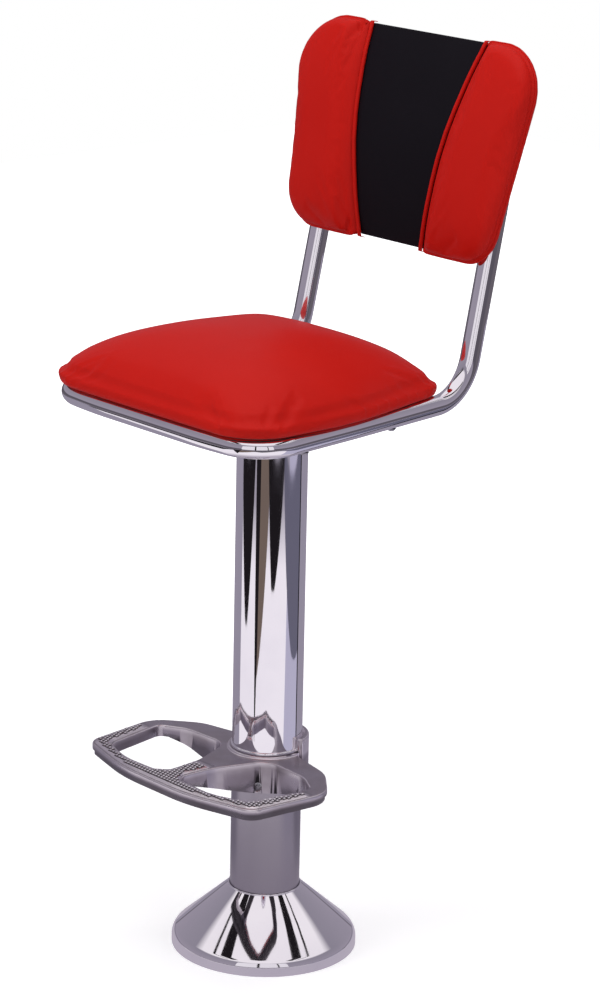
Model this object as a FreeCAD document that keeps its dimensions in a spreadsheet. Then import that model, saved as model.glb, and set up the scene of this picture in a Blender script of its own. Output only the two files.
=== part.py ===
import FreeCAD, Part
import math
import os

# Diner counter stool: floor pedestal with a cast footrest, roller bearing swivel,
# bent tube seat frame, crowned seat cushion and a V-insert back cushion.
# Millimetres. Origin on the column axis at the floor, +Z up, the sitter faces -Y.

os.makedirs("parts", exist_ok=True)
doc = FreeCAD.newDocument("DinerStool")
Vector = FreeCAD.Vector

sheet = doc.addObject("Spreadsheet::Sheet", "Dims")

DIMENSIONS = [
    ("ColumnDia", 88.9, "outside of both column sleeves"),
    ("SleeveWall", 2.0, "wall of the column sleeves"),
    ("SlipGap", 0.1, "radial gap of a piece slid over another"),
    ("CoreWall", 4.0, "wall of the pipe inside the sleeves"),
    ("FlangeDia", 222.0, "cast floor flange"),
    ("FlangeThick", 12.0, "flange plate"),
    ("SpigotTop", 62.0, "top of the flange spigot inside the pipe"),
    ("AnchorCircle", 180.0, "pitch circle of the anchor holes"),
    ("AnchorHole", 11.0, "anchor hole diameter"),
    ("CoverDia", 236.8, "rim of the base cover"),
    ("CoverBand", 10.0, "height of the upright band at the rim"),
    ("CoverKneeRad", 104.4, "radius where the cone turns into the rim"),
    ("CoverKneeZ", 23.3, "height of that turn"),
    ("CoverTop", 79.5, "top of the cone at the column"),
    ("CoverWall", 1.6, "sheet of the base cover"),
    ("SleeveJoint", 252.0, "where the two sleeves meet, inside the hub"),
    ("ColumnTop", 697.0, "top of the upper sleeve and pipe"),
    ("HubBottom", 222.0, "underside of the footrest hub"),
    ("HubTop", 267.5, "top of the footrest hub at the front"),
    ("BossTop", 285.0, "top of the hub's raised boss at the rear"),
    ("BossRad", 53.0, "outside radius of that boss"),
    ("BossFront", 12.0, "where that boss starts behind the column axis"),
    ("HubDia", 100.0, "outside of the footrest hub"),
    ("PlateTop", 265.0, "top of the foot plate"),
    ("RimBottom", 250.0, "underside of the foot plate at its rim"),
    ("LipBottom", 257.0, "underside of the projecting lip"),
    ("LipOut", 2.5, "how far the lip stands proud of the skirt"),
    ("TreadRise", 1.2, "raised tread pads"),
    ("ScrewZ", 233.0, "height of the set screws"),
    ("ScrewAngle", 52.0, "angle of each set screw from the side"),
    ("ScrewRad", 5.0, "set screw radius"),
    ("FaceDist", 52.0, "flat of the hub round each set screw"),
    ("RingTop", 272.0, "top of the trim ring over the hub"),
    ("RingRad", 46.6, "outside radius of the trim ring"),
    ("HousingBottom", 620.0, "underside of the swivel housing"),
    ("CapTop", 703.0, "top of the housing cap"),
    ("BushRad", 18.0, "outside radius of the bushes"),
    ("BushLen", 24.0, "length of each bush"),
    ("SpindleRad", 12.7, "swivel spindle"),
    ("RunGap", 0.05, "running gap on the spindle"),
    ("RaceRadIn", 15.5, "bore radius of the thrust races"),
    ("RaceRadOut", 30.0, "outside radius of the thrust races"),
    ("RaceThick", 3.0, "thickness of a thrust race"),
    ("RollerRad", 3.0, "bearing rollers"),
    ("RollerLen", 9.0, "length of a bearing roller"),
    ("RollerCircle", 22.5, "radius of the roller circle"),
    ("CageThick", 1.6, "roller cage"),
    ("PlateThick", 6.0, "swivel plate"),
    ("PlateSide", 150.0, "side of the swivel plate"),
    ("BoltPitch", 110.0, "spacing of the swivel bolts"),
    ("BoltRad", 4.0, "swivel bolts"),
    ("StrapWide", 40.0, "width of a cross strap"),
    ("StrapThick", 5.0, "thickness of a cross strap"),
    ("TubeRad", 12.7, "one inch frame tube"),
    ("TubeWall", 1.6, "wall of the frame tube"),
    ("RailZ", 724.1, "centre line of the seat rails"),
    ("FrontY", -198.0, "front rail at its middle"),
    ("FrontKinkX", 95.8, "where the front rail starts to sweep back"),
    ("CornerX", 191.6, "front corner"),
    ("CornerY", -189.4, "front corner"),
    ("CornerRad", 51.8, "bend at the front corner"),
    ("SideX", 177.3, "middle of the side rail"),
    ("SideY", -31.9, "middle of the side rail"),
    ("RearX", 153.8, "foot of a back post"),
    ("RearY", 174.8, "foot of a back post"),
    ("RearRad", 63.5, "bend up into the post"),
    ("BowRad", 600.0, "long sweeps of the rails"),
    ("ReclineSlope", 0.2186, "lean of the posts, run over rise"),
    ("ToeSlope", -0.0089, "how the posts close in, run over rise"),
    ("PostRise", 345.0, "height of the posts over the rails"),
    ("BoardThick", 12.0, "seat plywood"),
    ("BoardInset", 8.0, "seat plywood inside the cushion edge"),
    ("CushionZ", 736.8, "underside of the seat cushion"),
    ("SeatScrewRad", 3.0, "seat and back screws"),
    ("BackBoardO", 16.0, "rear of the back plywood before the post line"),
    ("BackBoardThick", 7.0, "back plywood"),
    ("BackLow", 165.0, "bottom of the back cushion up the posts"),
    ("BackHigh", 434.0, "top of the back cushion up the posts"),
    ("BackWideLow", 176.0, "half width at the bottom"),
    ("BackWideHigh", 208.0, "half width at the top"),
    ("SeamLow", 58.0, "V seam half spacing at the bottom"),
    ("SeamHigh", 105.0, "V seam half spacing at the top"),
    ("WeltRad", 2.6, "piping radius"),
]

for row, (alias, value, note) in enumerate(DIMENSIONS, start=1):
    sheet.set("A%d" % row, alias)
    sheet.set("B%d" % row, str(value))
    sheet.setAlias("B%d" % row, alias)
    sheet.set("C%d" % row, note)
doc.recompute()

FULL_TURN = 360.0
NODES = []


def size(alias):
    """A driving dimension read from the sheet."""
    return float(sheet.get(alias))


def bind(thing, prop, expression):
    """Bind a property to the sheet: words of the expression are its aliases."""
    for alias, _, _ in sorted(DIMENSIONS, key=lambda entry: -len(entry[0])):
        expression = expression.replace("{%s}" % alias, "Dims." + alias)
    thing.setExpression(prop, expression)


def keep(thing, node):
    """Mark an object as a sub-part that is written out under its label."""
    thing.Label = node
    NODES.append(thing)
    return thing


def new_body(name):
    return doc.addObject("PartDesign::Body", name)


def new_sketch(body, name, role="XY_Plane", height=None):
    """A sketch on one of the body's own origin planes, lifted by an expression."""
    plane = [item for item in body.Origin.OriginFeatures if item.Role == role][0]
    sketch = body.newObject("Sketcher::SketchObject", name)
    sketch.AttachmentSupport = [(plane, "")]
    sketch.MapMode = "FlatFace"
    if height is not None:
        bind(sketch, "AttachmentOffset.Base.z", height)
    return sketch


def add_circle(sketch, radius, centre=(0.0, 0.0)):
    """A circle whose radius is bound to the sheet."""
    import Sketcher
    place = Vector(centre[0], centre[1], 0)
    index = sketch.addGeometry(Part.Circle(place, Vector(0, 0, 1), 10.0), False)
    rule = sketch.addConstraint(Sketcher.Constraint("Radius", index, 10.0))
    bind(sketch, "Constraints[%d]" % rule, radius)
    return index


def corner_arc(before, corner, after, radius):
    """Start, middle and end of the arc that rounds a corner."""
    back = (before - corner).normalize()
    ahead = (after - corner).normalize()
    half = back.getAngle(ahead) / 2.0
    reach = radius / math.tan(half)
    middle = (back + ahead).normalize() * (radius / math.sin(half) - radius)
    return corner + back * reach, corner + middle, corner + ahead * reach


def rounded_loop(corners):
    """Lines and arcs of a closed outline whose corners are (x, y, radius)."""
    points = [Vector(x, y, 0) for x, y, _ in corners]
    count = len(points)
    arcs = [corner_arc(points[i - 1], points[i], points[(i + 1) % count], corners[i][2])
            for i in range(count)]
    loop = []
    for i in range(count):
        start, middle, end = arcs[i]
        loop.append(Part.ArcOfCircle(start, middle, end))
        loop.append(Part.LineSegment(end, arcs[(i + 1) % count][0]))
    return loop


def mirrored(half):
    """A closed outline from its right half, listed from front to back."""
    return half + [(-x, y, radius) for x, y, radius in reversed(half)]


def scaled(corners, across, along, centre):
    """The same outline drawn in about a centre on the middle line."""
    shrink = min(across, along)
    return [(x * across, centre + (y - centre) * along, radius * shrink)
            for x, y, radius in corners]


def offset_loop(corners, inward):
    """The same counter-clockwise outline moved inward by an even width."""
    moved = []
    count = len(corners)
    for i in range(count):
        here = Vector(corners[i][0], corners[i][1], 0)
        back = (Vector(corners[i - 1][0], corners[i - 1][1], 0) - here).normalize()
        following = corners[(i + 1) % count]
        ahead = (Vector(following[0], following[1], 0) - here).normalize()
        half = back.getAngle(ahead) / 2.0
        inside = (back + ahead).normalize() * (inward / math.sin(half))
        moved.append((here.x + inside.x, here.y + inside.y, max(corners[i][2] - inward, 1.0)))
    return moved


def path_wire(points, radii):
    """Straight runs joined by tangent arcs, in space."""
    edges = []
    last = points[0]
    for i in range(1, len(points) - 1):
        start, middle, end = corner_arc(points[i - 1], points[i], points[i + 1], radii[i - 1])
        edges.append(Part.LineSegment(last, start).toShape())
        edges.append(Part.Arc(start, middle, end).toShape())
        last = end
    edges.append(Part.LineSegment(last, points[-1]).toShape())
    return Part.Wire(edges)


def pad(body, sketch, name, length):
    feature = body.newObject("PartDesign::Pad", name)
    feature.Profile = sketch
    bind(feature, "Length", length)
    return feature


def pocket_through(body, sketch, name):
    """A cut both ways through everything."""
    feature = body.newObject("PartDesign::Pocket", name)
    feature.Profile = sketch
    feature.Type = "ThroughAll"
    feature.Midplane = True
    return feature


def ring(node, outer, inner, low, high):
    """A plain turned ring or tube."""
    body = new_body(node)
    sketch = new_sketch(body, node + "_section", height=low)
    add_circle(sketch, outer)
    if inner:
        add_circle(sketch, inner)
    pad(body, sketch, node + "_length", "(%s) - (%s)" % (high, low))
    return keep(body, node)


def turned(node, geometry):
    """A body revolved about the column axis from a closed section in the XZ plane."""
    body = new_body(node)
    sketch = new_sketch(body, node + "_section", role="XZ_Plane")
    sketch.addGeometry(geometry, False)
    turn = body.newObject("PartDesign::Revolution", node + "_turn")
    turn.Profile = sketch
    turn.ReferenceAxis = (sketch, ["V_Axis"])
    turn.Angle = FULL_TURN
    return keep(body, node)


def closed_lines(points):
    """Line segments round a closed list of (x, y)."""
    places = [Vector(x, y, 0) for x, y in points]
    return [Part.LineSegment(places[i], places[(i + 1) % len(places)])
            for i in range(len(places))]


def loft(body, name, sections, height="{CushionZ}"):
    """A padded form through outlines given as (corners, height over the base)."""
    sketches = []
    for index, (corners, rise) in enumerate(sections):
        sketch = new_sketch(body, "%s_ring_%d" % (name, index),
                            height="%s + (%s)" % (height, rise))
        sketch.addGeometry(rounded_loop(corners), False)
        sketches.append(sketch)
    feature = body.newObject("PartDesign::AdditiveLoft", name)
    feature.Profile = sketches[0]
    feature.Sections = sketches[1:]
    feature.Ruled = True
    return feature


def cylinder(name, radius, low, high, centre=(0.0, 0.0)):
    """An upright Part cylinder bound to the sheet."""
    thing = doc.addObject("Part::Cylinder", name)
    bind(thing, "Radius", radius)
    bind(thing, "Height", "(%s) - (%s)" % (high, low))
    bind(thing, "Placement.Base.z", low)
    thing.Placement.Base.x = centre[0]
    thing.Placement.Base.y = centre[1]
    return thing


def cut(name, base, tools):
    """Part boolean: base without every tool."""
    result = base
    for index, tool in enumerate(tools):
        step = doc.addObject("Part::Cut", "%s_cut_%d" % (name, index))
        step.Base = result
        step.Tool = tool
        result = step
    return result


def fuse(name, shapes):
    group = doc.addObject("Part::MultiFuse", name)
    group.Shapes = shapes
    return group


def group(node, pieces):
    """Identical pieces kept as one node of separate solids."""
    compound = doc.addObject("Part::Compound", node)
    compound.Links = pieces
    return keep(compound, node)


# Pedestal: floor flange, column pipe, sleeves and base cover

def floor_flange():
    """Cast flange: plate with a broken edge, spigot inside the pipe, four anchor holes."""
    body = new_body("floor_flange")
    outline = new_sketch(body, "flange_outline")
    add_circle(outline, "{FlangeDia} / 2")
    pad(body, outline, "flange_plate", "{FlangeThick}")
    spigot = new_sketch(body, "flange_spigot_outline")
    add_circle(spigot, "{ColumnDia} / 2 - {SleeveWall} - {CoreWall} - 2 * {SlipGap}")
    pad(body, spigot, "flange_spigot", "{SpigotTop}")
    doc.recompute()
    holes = new_sketch(body, "anchor_outline")
    add_circle(holes, "{AnchorHole} / 2", (size("AnchorCircle") / 2, 0.0))
    anchor = pocket_through(body, holes, "anchor_hole")
    doc.recompute()
    pattern = body.newObject("PartDesign::PolarPattern", "anchor_holes")
    pattern.Originals = [anchor]
    pattern.Axis = (holes, ["N_Axis"])
    pattern.Angle = FULL_TURN
    pattern.Occurrences = 4
    body.Tip = pattern
    doc.recompute()
    rim = [("Edge%d" % (i + 1)) for i, edge in enumerate(pattern.Shape.Edges)
           if abs(edge.BoundBox.ZMin - size("FlangeThick")) < 0.01
           and edge.BoundBox.ZLength < 0.01
           and edge.BoundBox.XLength > size("FlangeDia") - 1.0]
    softened = body.newObject("PartDesign::Chamfer", "flange_edge")
    softened.Base = (pattern, rim)
    softened.Size = 1.5
    body.Tip = softened
    return keep(body, "floor_flange")


def base_cover():
    """Spun bell: upright rim band, rounded shoulder, straight cone, rolled lip at the column."""
    wall = size("CoverWall")
    rim = size("CoverDia") / 2
    band = size("CoverBand")
    knee = (size("CoverKneeRad"), size("CoverKneeZ"))
    neck = size("ColumnDia") / 2 + size("SlipGap")
    top = size("CoverTop")
    slope = math.atan2(top - knee[1], neck + wall - knee[0])
    normal = (math.sin(slope), -math.cos(slope))
    mid_rim = (rim - 4.2, band + 8.0)
    knee_in = (knee[0] - normal[0] * wall, knee[1] - normal[1] * wall)
    outer_neck = (neck + wall, top)
    section = [
        Part.LineSegment(Vector(rim - wall, 0, 0), Vector(rim, 0, 0)),
        Part.LineSegment(Vector(rim, 0, 0), Vector(rim, band, 0)),
        Part.ArcOfCircle(Vector(rim, band, 0), Vector(mid_rim[0], mid_rim[1], 0),
                         Vector(knee[0], knee[1], 0)),
        Part.LineSegment(Vector(knee[0], knee[1], 0), Vector(outer_neck[0], outer_neck[1], 0)),
        Part.LineSegment(Vector(outer_neck[0], outer_neck[1], 0),
                         Vector(outer_neck[0], top + wall, 0)),
        Part.LineSegment(Vector(outer_neck[0], top + wall, 0), Vector(neck, top + wall, 0)),
        Part.LineSegment(Vector(neck, top + wall, 0), Vector(neck, top - 0.8 * wall, 0)),
        Part.LineSegment(Vector(neck, top - 0.8 * wall, 0), Vector(knee_in[0], knee_in[1], 0)),
        Part.LineSegment(Vector(knee_in[0], knee_in[1], 0), Vector(rim - wall, band, 0)),
        Part.LineSegment(Vector(rim - wall, band, 0), Vector(rim - wall, 0, 0)),
    ]
    return turned("base_cover", section)


def column():
    """Pipe over the flange spigot, with a satin sleeve below and a mirror sleeve above."""
    outer = "{ColumnDia} / 2"
    bore = "{ColumnDia} / 2 - {SleeveWall}"
    pipe = "{ColumnDia} / 2 - {SleeveWall} - {SlipGap}"
    ring("column_pipe", pipe, pipe + " - {CoreWall}", "{FlangeThick}", "{ColumnTop}")
    ring("lower_sleeve", outer, bore, "{FlangeThick}", "{SleeveJoint}")
    ring("upper_sleeve", outer, bore, "{SleeveJoint}", "{ColumnTop}")


def hub_ring():
    """Bead of bright metal that closes the top of the footrest hub."""
    neck = size("ColumnDia") / 2 + size("SlipGap")
    low = size("HubTop")
    high = size("RingTop")
    out = size("RingRad")
    edge = 0.8
    return turned("hub_ring", closed_lines([(neck, low), (out - edge, low), (out, low + edge),
                                            (out, high - edge), (out - edge, high),
                                            (neck, high)]))


# Footrest casting

PLATE_HALF = [(62.0, -188.5, 250.0), (157.0, -163.0, 24.0), (170.0, -50.0, 42.0),
              (118.0, -7.0, 60.0), (46.0, 8.0, 5.0)]
HOLE_RIGHT = [(14.0, -160.5, 15.0), (82.0, -163.0, 110.0), (130.0, -148.0, 17.0),
              (146.0, -57.0, 12.0), (112.0, -37.5, 45.0), (42.0, -34.0, 26.0),
              (17.0, -100.0, 90.0)]


def tread_outlines():
    """Raised pads: the front bar with the nose of the web, and one pad on each side bar."""
    front = [(60.0, -184.0, 250.0), (153.0, -159.5, 18.0), (163.5, -74.0, 4.0),
             (149.0, -78.0, 3.0), (135.5, -146.0, 17.0), (84.0, -167.5, 110.0),
             (26.0, -164.5, 8.0), (9.5, -150.0, 14.0), (14.0, -106.0, 4.0)]
    return mirrored(front)


def hole_corners(side):
    """The foot opening on one side, counter-clockwise."""
    if side > 0:
        return HOLE_RIGHT
    return [(-x, y, radius) for x, y, radius in reversed(HOLE_RIGHT)]


def footrest():
    """One casting: hub with set screw flats, coned underside, lipped plate, two foot openings."""
    body = new_body("footrest_casting")
    skirt = new_sketch(body, "skirt_outline", height="{HubBottom}")
    skirt.addGeometry(rounded_loop(offset_loop(mirrored(PLATE_HALF), size("LipOut"))), False)
    pad(body, skirt, "skirt", "{PlateTop} - {HubBottom}")
    doc.recompute()
    under = new_sketch(body, "underside", role="XZ_Plane")
    below = size("HubBottom") - 1.0
    rim = size("RimBottom")
    under.addGeometry(closed_lines([(size("HubDia") / 2 + 1.0, below), (260.0, below),
                                    (260.0, rim), (144.0, rim)]), False)
    cone = body.newObject("PartDesign::Groove", "coned_underside")
    cone.Profile = under
    cone.ReferenceAxis = (under, ["V_Axis"])
    cone.Angle = FULL_TURN
    doc.recompute()
    lip = new_sketch(body, "lip_outline", height="{LipBottom}")
    lip.addGeometry(rounded_loop(mirrored(PLATE_HALF)), False)
    pad(body, lip, "lip", "{PlateTop} - {LipBottom}")
    hub = new_sketch(body, "hub_outline", height="{HubBottom}")
    add_circle(hub, "{HubDia} / 2")
    pad(body, hub, "hub", "{HubTop} - {HubBottom}")
    boss = new_sketch(body, "boss_outline", height="{HubBottom}")
    front = size("BossFront")
    side = math.sqrt(size("BossRad") ** 2 - front ** 2)
    boss.addGeometry([Part.ArcOfCircle(Vector(side, front, 0), Vector(0, size("BossRad"), 0),
                                       Vector(-side, front, 0)),
                      Part.LineSegment(Vector(-side, front, 0), Vector(side, front, 0))], False)
    pad(body, boss, "rear_boss", "{BossTop} - {HubBottom}")
    flats = new_sketch(body, "flats_outline", height="{HubBottom}")
    turn = math.radians(size("ScrewAngle"))
    centre = Vector(math.cos(turn), -math.sin(turn), 0) * size("FaceDist")
    along = Vector(math.sin(turn), math.cos(turn), 0) * 18.5
    rear = centre + along
    front = centre - along
    flats.addGeometry(closed_lines([(-rear.x, 0.0), (-rear.x, rear.y), (-front.x, front.y),
                                    (front.x, front.y), (rear.x, rear.y), (rear.x, 0.0)]), False)
    pad(body, flats, "set_screw_flats", "{PlateTop} - {HubBottom}")
    doc.recompute()
    openings = new_sketch(body, "openings_outline")
    openings.addGeometry(rounded_loop(hole_corners(1)), False)
    openings.addGeometry(rounded_loop(hole_corners(-1)), False)
    holes = pocket_through(body, openings, "foot_openings")
    doc.recompute()
    return body


def footrest_edges(body):
    """Cast radii: rims of the plate and the openings, foot of the hub, top of the boss."""
    top = size("PlateTop")
    base = body.Tip

    def names(test):
        return ["Edge%d" % (i + 1) for i, edge in enumerate(base.Shape.Edges)
                if edge.BoundBox.ZLength < 0.01 and abs(edge.BoundBox.ZMin - top) < 0.01
                and test(edge)]

    def radius_of(edge):
        return min(math.hypot(v.Point.x, v.Point.y) for v in edge.Vertexes)

    rims = names(lambda edge: radius_of(edge) > size("HubDia") / 2 + 1.5)
    rounding = body.newObject("PartDesign::Fillet", "cast_rims")
    rounding.Base = (base, rims)
    rounding.Radius = 2.0
    body.Tip = rounding
    doc.recompute()
    base = rounding
    hub = [("Edge%d" % (i + 1)) for i, edge in enumerate(base.Shape.Edges)
           if edge.BoundBox.ZLength < 0.01 and abs(edge.BoundBox.ZMin - top) < 0.01
           and hasattr(edge.Curve, "Radius")
           and abs(edge.Curve.Radius - size("HubDia") / 2) < 0.01
           and abs(edge.Curve.Center.x) < 0.01 and abs(edge.Curve.Center.y) < 0.01]
    if hub:
        flare = body.newObject("PartDesign::Fillet", "hub_flare")
        flare.Base = (base, hub)
        flare.Radius = 2.0
        body.Tip = flare
        doc.recompute()
    base = body.Tip
    crest = ["Edge%d" % (i + 1) for i, edge in enumerate(base.Shape.Edges)
             if edge.BoundBox.ZMin > size("BossTop") - 0.01]
    brow = body.newObject("PartDesign::Fillet", "boss_brow")
    brow.Base = (base, crest)
    brow.Radius = 3.0
    body.Tip = brow
    doc.recompute()


def set_screw_place(side):
    """Axis of a set screw: radial, pointing out of the flat."""
    turn = math.radians(size("ScrewAngle"))
    outward = Vector(side * math.cos(turn), -math.sin(turn), 0)
    start = outward * (size("ColumnDia") / 2) + Vector(0, 0, size("ScrewZ"))
    return FreeCAD.Placement(start, FreeCAD.Rotation(Vector(0, 0, 1), outward))


def finished_footrest():
    """The casting with its bore, the tapped holes and the raised tread pads."""
    body = footrest()
    footrest_edges(body)
    bore = new_sketch(body, "bore_outline")
    add_circle(bore, "{ColumnDia} / 2 + {SlipGap}")
    pocket_through(body, bore, "hub_bore")
    treads = new_sketch(body, "tread_outline", height="{PlateTop} - 1")
    treads.addGeometry(rounded_loop(tread_outlines()), False)
    pad(body, treads, "tread_pad", "{TreadRise} + 1")
    doc.recompute()
    tools = []
    for side, name in ((1, "left"), (-1, "right")):
        tool = doc.addObject("Part::Cylinder", "tapping_" + name)
        bind(tool, "Radius", "{ScrewRad}")
        tool.Height = 20.0
        tool.Placement = set_screw_place(side)
        tools.append(tool)
    tools.append(cylinder("ring_room", "{RingRad} + {SlipGap}", "{HubTop}", "{BossTop} + 1"))
    return keep(cut("footrest", body, tools), "footrest")


def set_screws():
    """Two socket set screws that pinch the hub on the column."""
    pieces = []
    length = size("FaceDist") - size("ColumnDia") / 2 + 1.2
    for side, name in ((1, "left"), (-1, "right")):
        stem = doc.addObject("Part::Cylinder", "set_screw_stem_" + name)
        bind(stem, "Radius", "{ScrewRad}")
        stem.Height = length
        socket = doc.addObject("Part::Prism", "set_screw_socket_" + name)
        socket.Polygon = 6
        socket.Circumradius = 2.9
        socket.Height = 4.0
        socket.Placement.Base.z = length - 3.5
        screw = cut("set_screw_" + name, stem, [socket])
        screw.Placement = set_screw_place(side)
        pieces.append(screw)
    return group("footrest_set_screws", pieces)


# Swivel: housing, bushes, thrust bearing and spindle

def swivel_housing():
    """Cast plug in the pipe with a cap over the sleeves and a bore for two bushes."""
    fit = size("ColumnDia") / 2 - size("SleeveWall") - size("CoreWall") - 2 * size("SlipGap")
    bush = size("BushRad")
    low = size("HousingBottom")
    rim = size("ColumnTop")
    cap = size("CapTop")
    section = closed_lines([(bush, low), (fit, low), (fit, rim), (size("ColumnDia") / 2, rim),
                            (size("ColumnDia") / 2, cap - 2.0), (size("ColumnDia") / 2 - 2.0, cap),
                            (bush, cap)])
    return turned("swivel_housing", section)


def bushes():
    bore = "{SpindleRad} + {RunGap}"
    ring("lower_bush", "{BushRad}", bore, "{HousingBottom}", "{HousingBottom} + {BushLen}")
    ring("upper_bush", "{BushRad}", bore, "{CapTop} - {BushLen}", "{CapTop}")


LOWER_FACE = size("CapTop") + size("RaceThick")
ROLLER_Z = LOWER_FACE + size("RunGap") + size("RollerRad")
UPPER_FACE = 2 * ROLLER_Z - LOWER_FACE
SWIVEL_Z = UPPER_FACE + size("RaceThick")
ROLLER_COUNT = 12


def thrust_bearing():
    """Two flat races, a ring of rollers between them and the cage that spaces these."""
    ring("lower_race", "{RaceRadOut}", "{RaceRadIn}", "{CapTop}", "{CapTop} + {RaceThick}")
    ring("upper_race", "{RaceRadOut}", "{RaceRadIn}", "%f" % UPPER_FACE, "%f" % SWIVEL_Z)
    rollers = []
    for index in range(ROLLER_COUNT):
        angle = 2 * math.pi * index / ROLLER_COUNT
        outward = Vector(math.cos(angle), math.sin(angle), 0)
        roller = doc.addObject("Part::Cylinder", "roller_%d" % index)
        bind(roller, "Radius", "{RollerRad}")
        bind(roller, "Height", "{RollerLen}")
        start = outward * (size("RollerCircle") - size("RollerLen") / 2)
        roller.Placement = FreeCAD.Placement(start + Vector(0, 0, ROLLER_Z),
                                             FreeCAD.Rotation(Vector(0, 0, 1), outward))
        rollers.append(roller)
    group("bearing_rollers", rollers)
    cage = new_body("roller_cage")
    outline = new_sketch(cage, "cage_outline", height="%f - {CageThick} / 2" % ROLLER_Z)
    add_circle(outline, "{RaceRadOut} - 0.5")
    add_circle(outline, "{RaceRadIn} + 0.3")
    pad(cage, outline, "cage_ring", "{CageThick}")
    doc.recompute()
    window = new_sketch(cage, "window_outline")
    near = size("RollerCircle") - size("RollerLen") / 2 - 0.15
    far = size("RollerCircle") + size("RollerLen") / 2 + 0.15
    side = size("RollerRad") + 0.15
    window.addGeometry(closed_lines([(near, -side), (far, -side), (far, side), (near, side)]),
                       False)
    first = pocket_through(cage, window, "first_window")
    doc.recompute()
    pattern = cage.newObject("PartDesign::PolarPattern", "windows")
    pattern.Originals = [first]
    pattern.Axis = (window, ["N_Axis"])
    pattern.Angle = FULL_TURN
    pattern.Occurrences = ROLLER_COUNT
    cage.Tip = pattern
    keep(cage, "roller_cage")


THREAD_RAD = 9.5
SPINDLE_LOW = size("HousingBottom") - 0.7
WASHER_THICK = 3.0
NUT_HIGH = 14.0
THREAD_END = SPINDLE_LOW - WASHER_THICK - NUT_HIGH - 9.0
PIN_Z = SPINDLE_LOW - WASHER_THICK - NUT_HIGH - 3.5


def spindle():
    """Turned spindle with a threaded tail, a washer, a nut and a cotter pin."""
    top = SWIVEL_Z + size("PlateThick")
    main = size("SpindleRad")
    section = closed_lines([(0.0, THREAD_END), (THREAD_RAD - 1.0, THREAD_END),
                            (THREAD_RAD, THREAD_END + 1.0), (THREAD_RAD, SPINDLE_LOW),
                            (main, SPINDLE_LOW), (main, top), (0.0, top)])
    body = turned("swivel_spindle", section)
    NODES.remove(body)
    body.Label = "spindle_blank"
    hole = doc.addObject("Part::Cylinder", "cotter_hole")
    hole.Radius = 1.7
    hole.Height = 30.0
    hole.Placement = FreeCAD.Placement(Vector(-15.0, 0, PIN_Z),
                                       FreeCAD.Rotation(Vector(0, 1, 0), 90))
    keep(cut("spindle", body, [hole]), "swivel_spindle")
    pin = doc.addObject("Part::Cylinder", "cotter_pin")
    pin.Radius = 1.6
    pin.Height = 26.0
    pin.Placement = FreeCAD.Placement(Vector(-13.0, 0, PIN_Z),
                                      FreeCAD.Rotation(Vector(0, 1, 0), 90))
    keep(pin, "cotter_pin")
    washer_low = SPINDLE_LOW - WASHER_THICK
    ring("spindle_washer", "21", "%f" % (THREAD_RAD + 0.1), "%f" % washer_low,
         "%f" % SPINDLE_LOW)
    nut = doc.addObject("Part::Prism", "nut_blank")
    nut.Polygon = 6
    nut.Circumradius = 16.5
    nut.Height = NUT_HIGH
    nut.Placement.Base.z = washer_low - NUT_HIGH
    bore = cylinder("nut_bore", "%f" % (THREAD_RAD + 0.02),
                    "%f" % (washer_low - NUT_HIGH - 1.0), "%f" % (washer_low + 1.0))
    keep(cut("nut", nut, [bore]), "spindle_nut")


def bolt_places():
    half = size("BoltPitch") / 2
    return [(half, half), (-half, half), (-half, -half), (half, -half)]


def swivel_plate():
    """Square plate welded round the spindle, with four bolt holes."""
    body = new_body("swivel_plate")
    outline = new_sketch(body, "plate_outline", height="%f" % SWIVEL_Z)
    half = size("PlateSide") / 2
    outline.addGeometry(rounded_loop([(-half, -half, 12.0), (half, -half, 12.0),
                                      (half, half, 12.0), (-half, half, 12.0)]), False)
    add_circle(outline, "{SpindleRad}")
    for place in bolt_places():
        add_circle(outline, "{BoltRad} + 0.3", place)
    pad(body, outline, "plate", "{PlateThick}")
    return keep(body, "swivel_plate")


STRAP_Z = SWIVEL_Z + size("PlateThick")


def hex_bolts():
    """Four bolts up through the plate and straps, and their nuts on top."""
    bolts = []
    nuts = []
    head = 5.3
    nut_high = 6.5
    strap_top = STRAP_Z + size("StrapThick")
    for index, (x, y) in enumerate(bolt_places()):
        shank = cylinder("bolt_shank_%d" % index, "{BoltRad}", "%f" % (SWIVEL_Z - 0.5),
                         "%f" % (strap_top + nut_high + 1.5), (x, y))
        cap = doc.addObject("Part::Prism", "bolt_head_%d" % index)
        cap.Polygon = 6
        cap.Circumradius = 7.5
        cap.Height = head
        cap.Placement.Base = Vector(x, y, SWIVEL_Z - head)
        bolts.append(fuse("swivel_bolt_%d" % index, [cap, shank]))
        blank = doc.addObject("Part::Prism", "nut_%d_blank" % index)
        blank.Polygon = 6
        blank.Circumradius = 7.5
        blank.Height = nut_high
        blank.Placement.Base = Vector(x, y, strap_top)
        bore = cylinder("nut_%d_bore" % index, "{BoltRad} + 0.02", "%f" % (strap_top - 1),
                        "%f" % (strap_top + nut_high + 1), (x, y))
        nuts.append(cut("swivel_nut_%d" % index, blank, [bore]))
    group("swivel_bolts", bolts)
    group("swivel_nuts", nuts)


# Seat frame

def frame_points():
    """Centre line of the bent tube, from the left post round the front to the right post."""
    z = size("RailZ")
    rise = size("PostRise")
    half = [
        Vector(size("FrontKinkX"), size("FrontY"), z),
        Vector(size("CornerX"), size("CornerY"), z),
        Vector(size("SideX"), size("SideY"), z),
        Vector(size("RearX"), size("RearY"), z),
        Vector(size("RearX") + size("ToeSlope") * rise,
               size("RearY") + size("ReclineSlope") * rise, z + rise),
    ]
    other = [Vector(-p.x, p.y, p.z) for p in half]
    return list(reversed(half)) + other


def frame_radii():
    half = [size("RearRad"), size("BowRad"), size("CornerRad"), size("BowRad")]
    return half + list(reversed(half))


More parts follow.
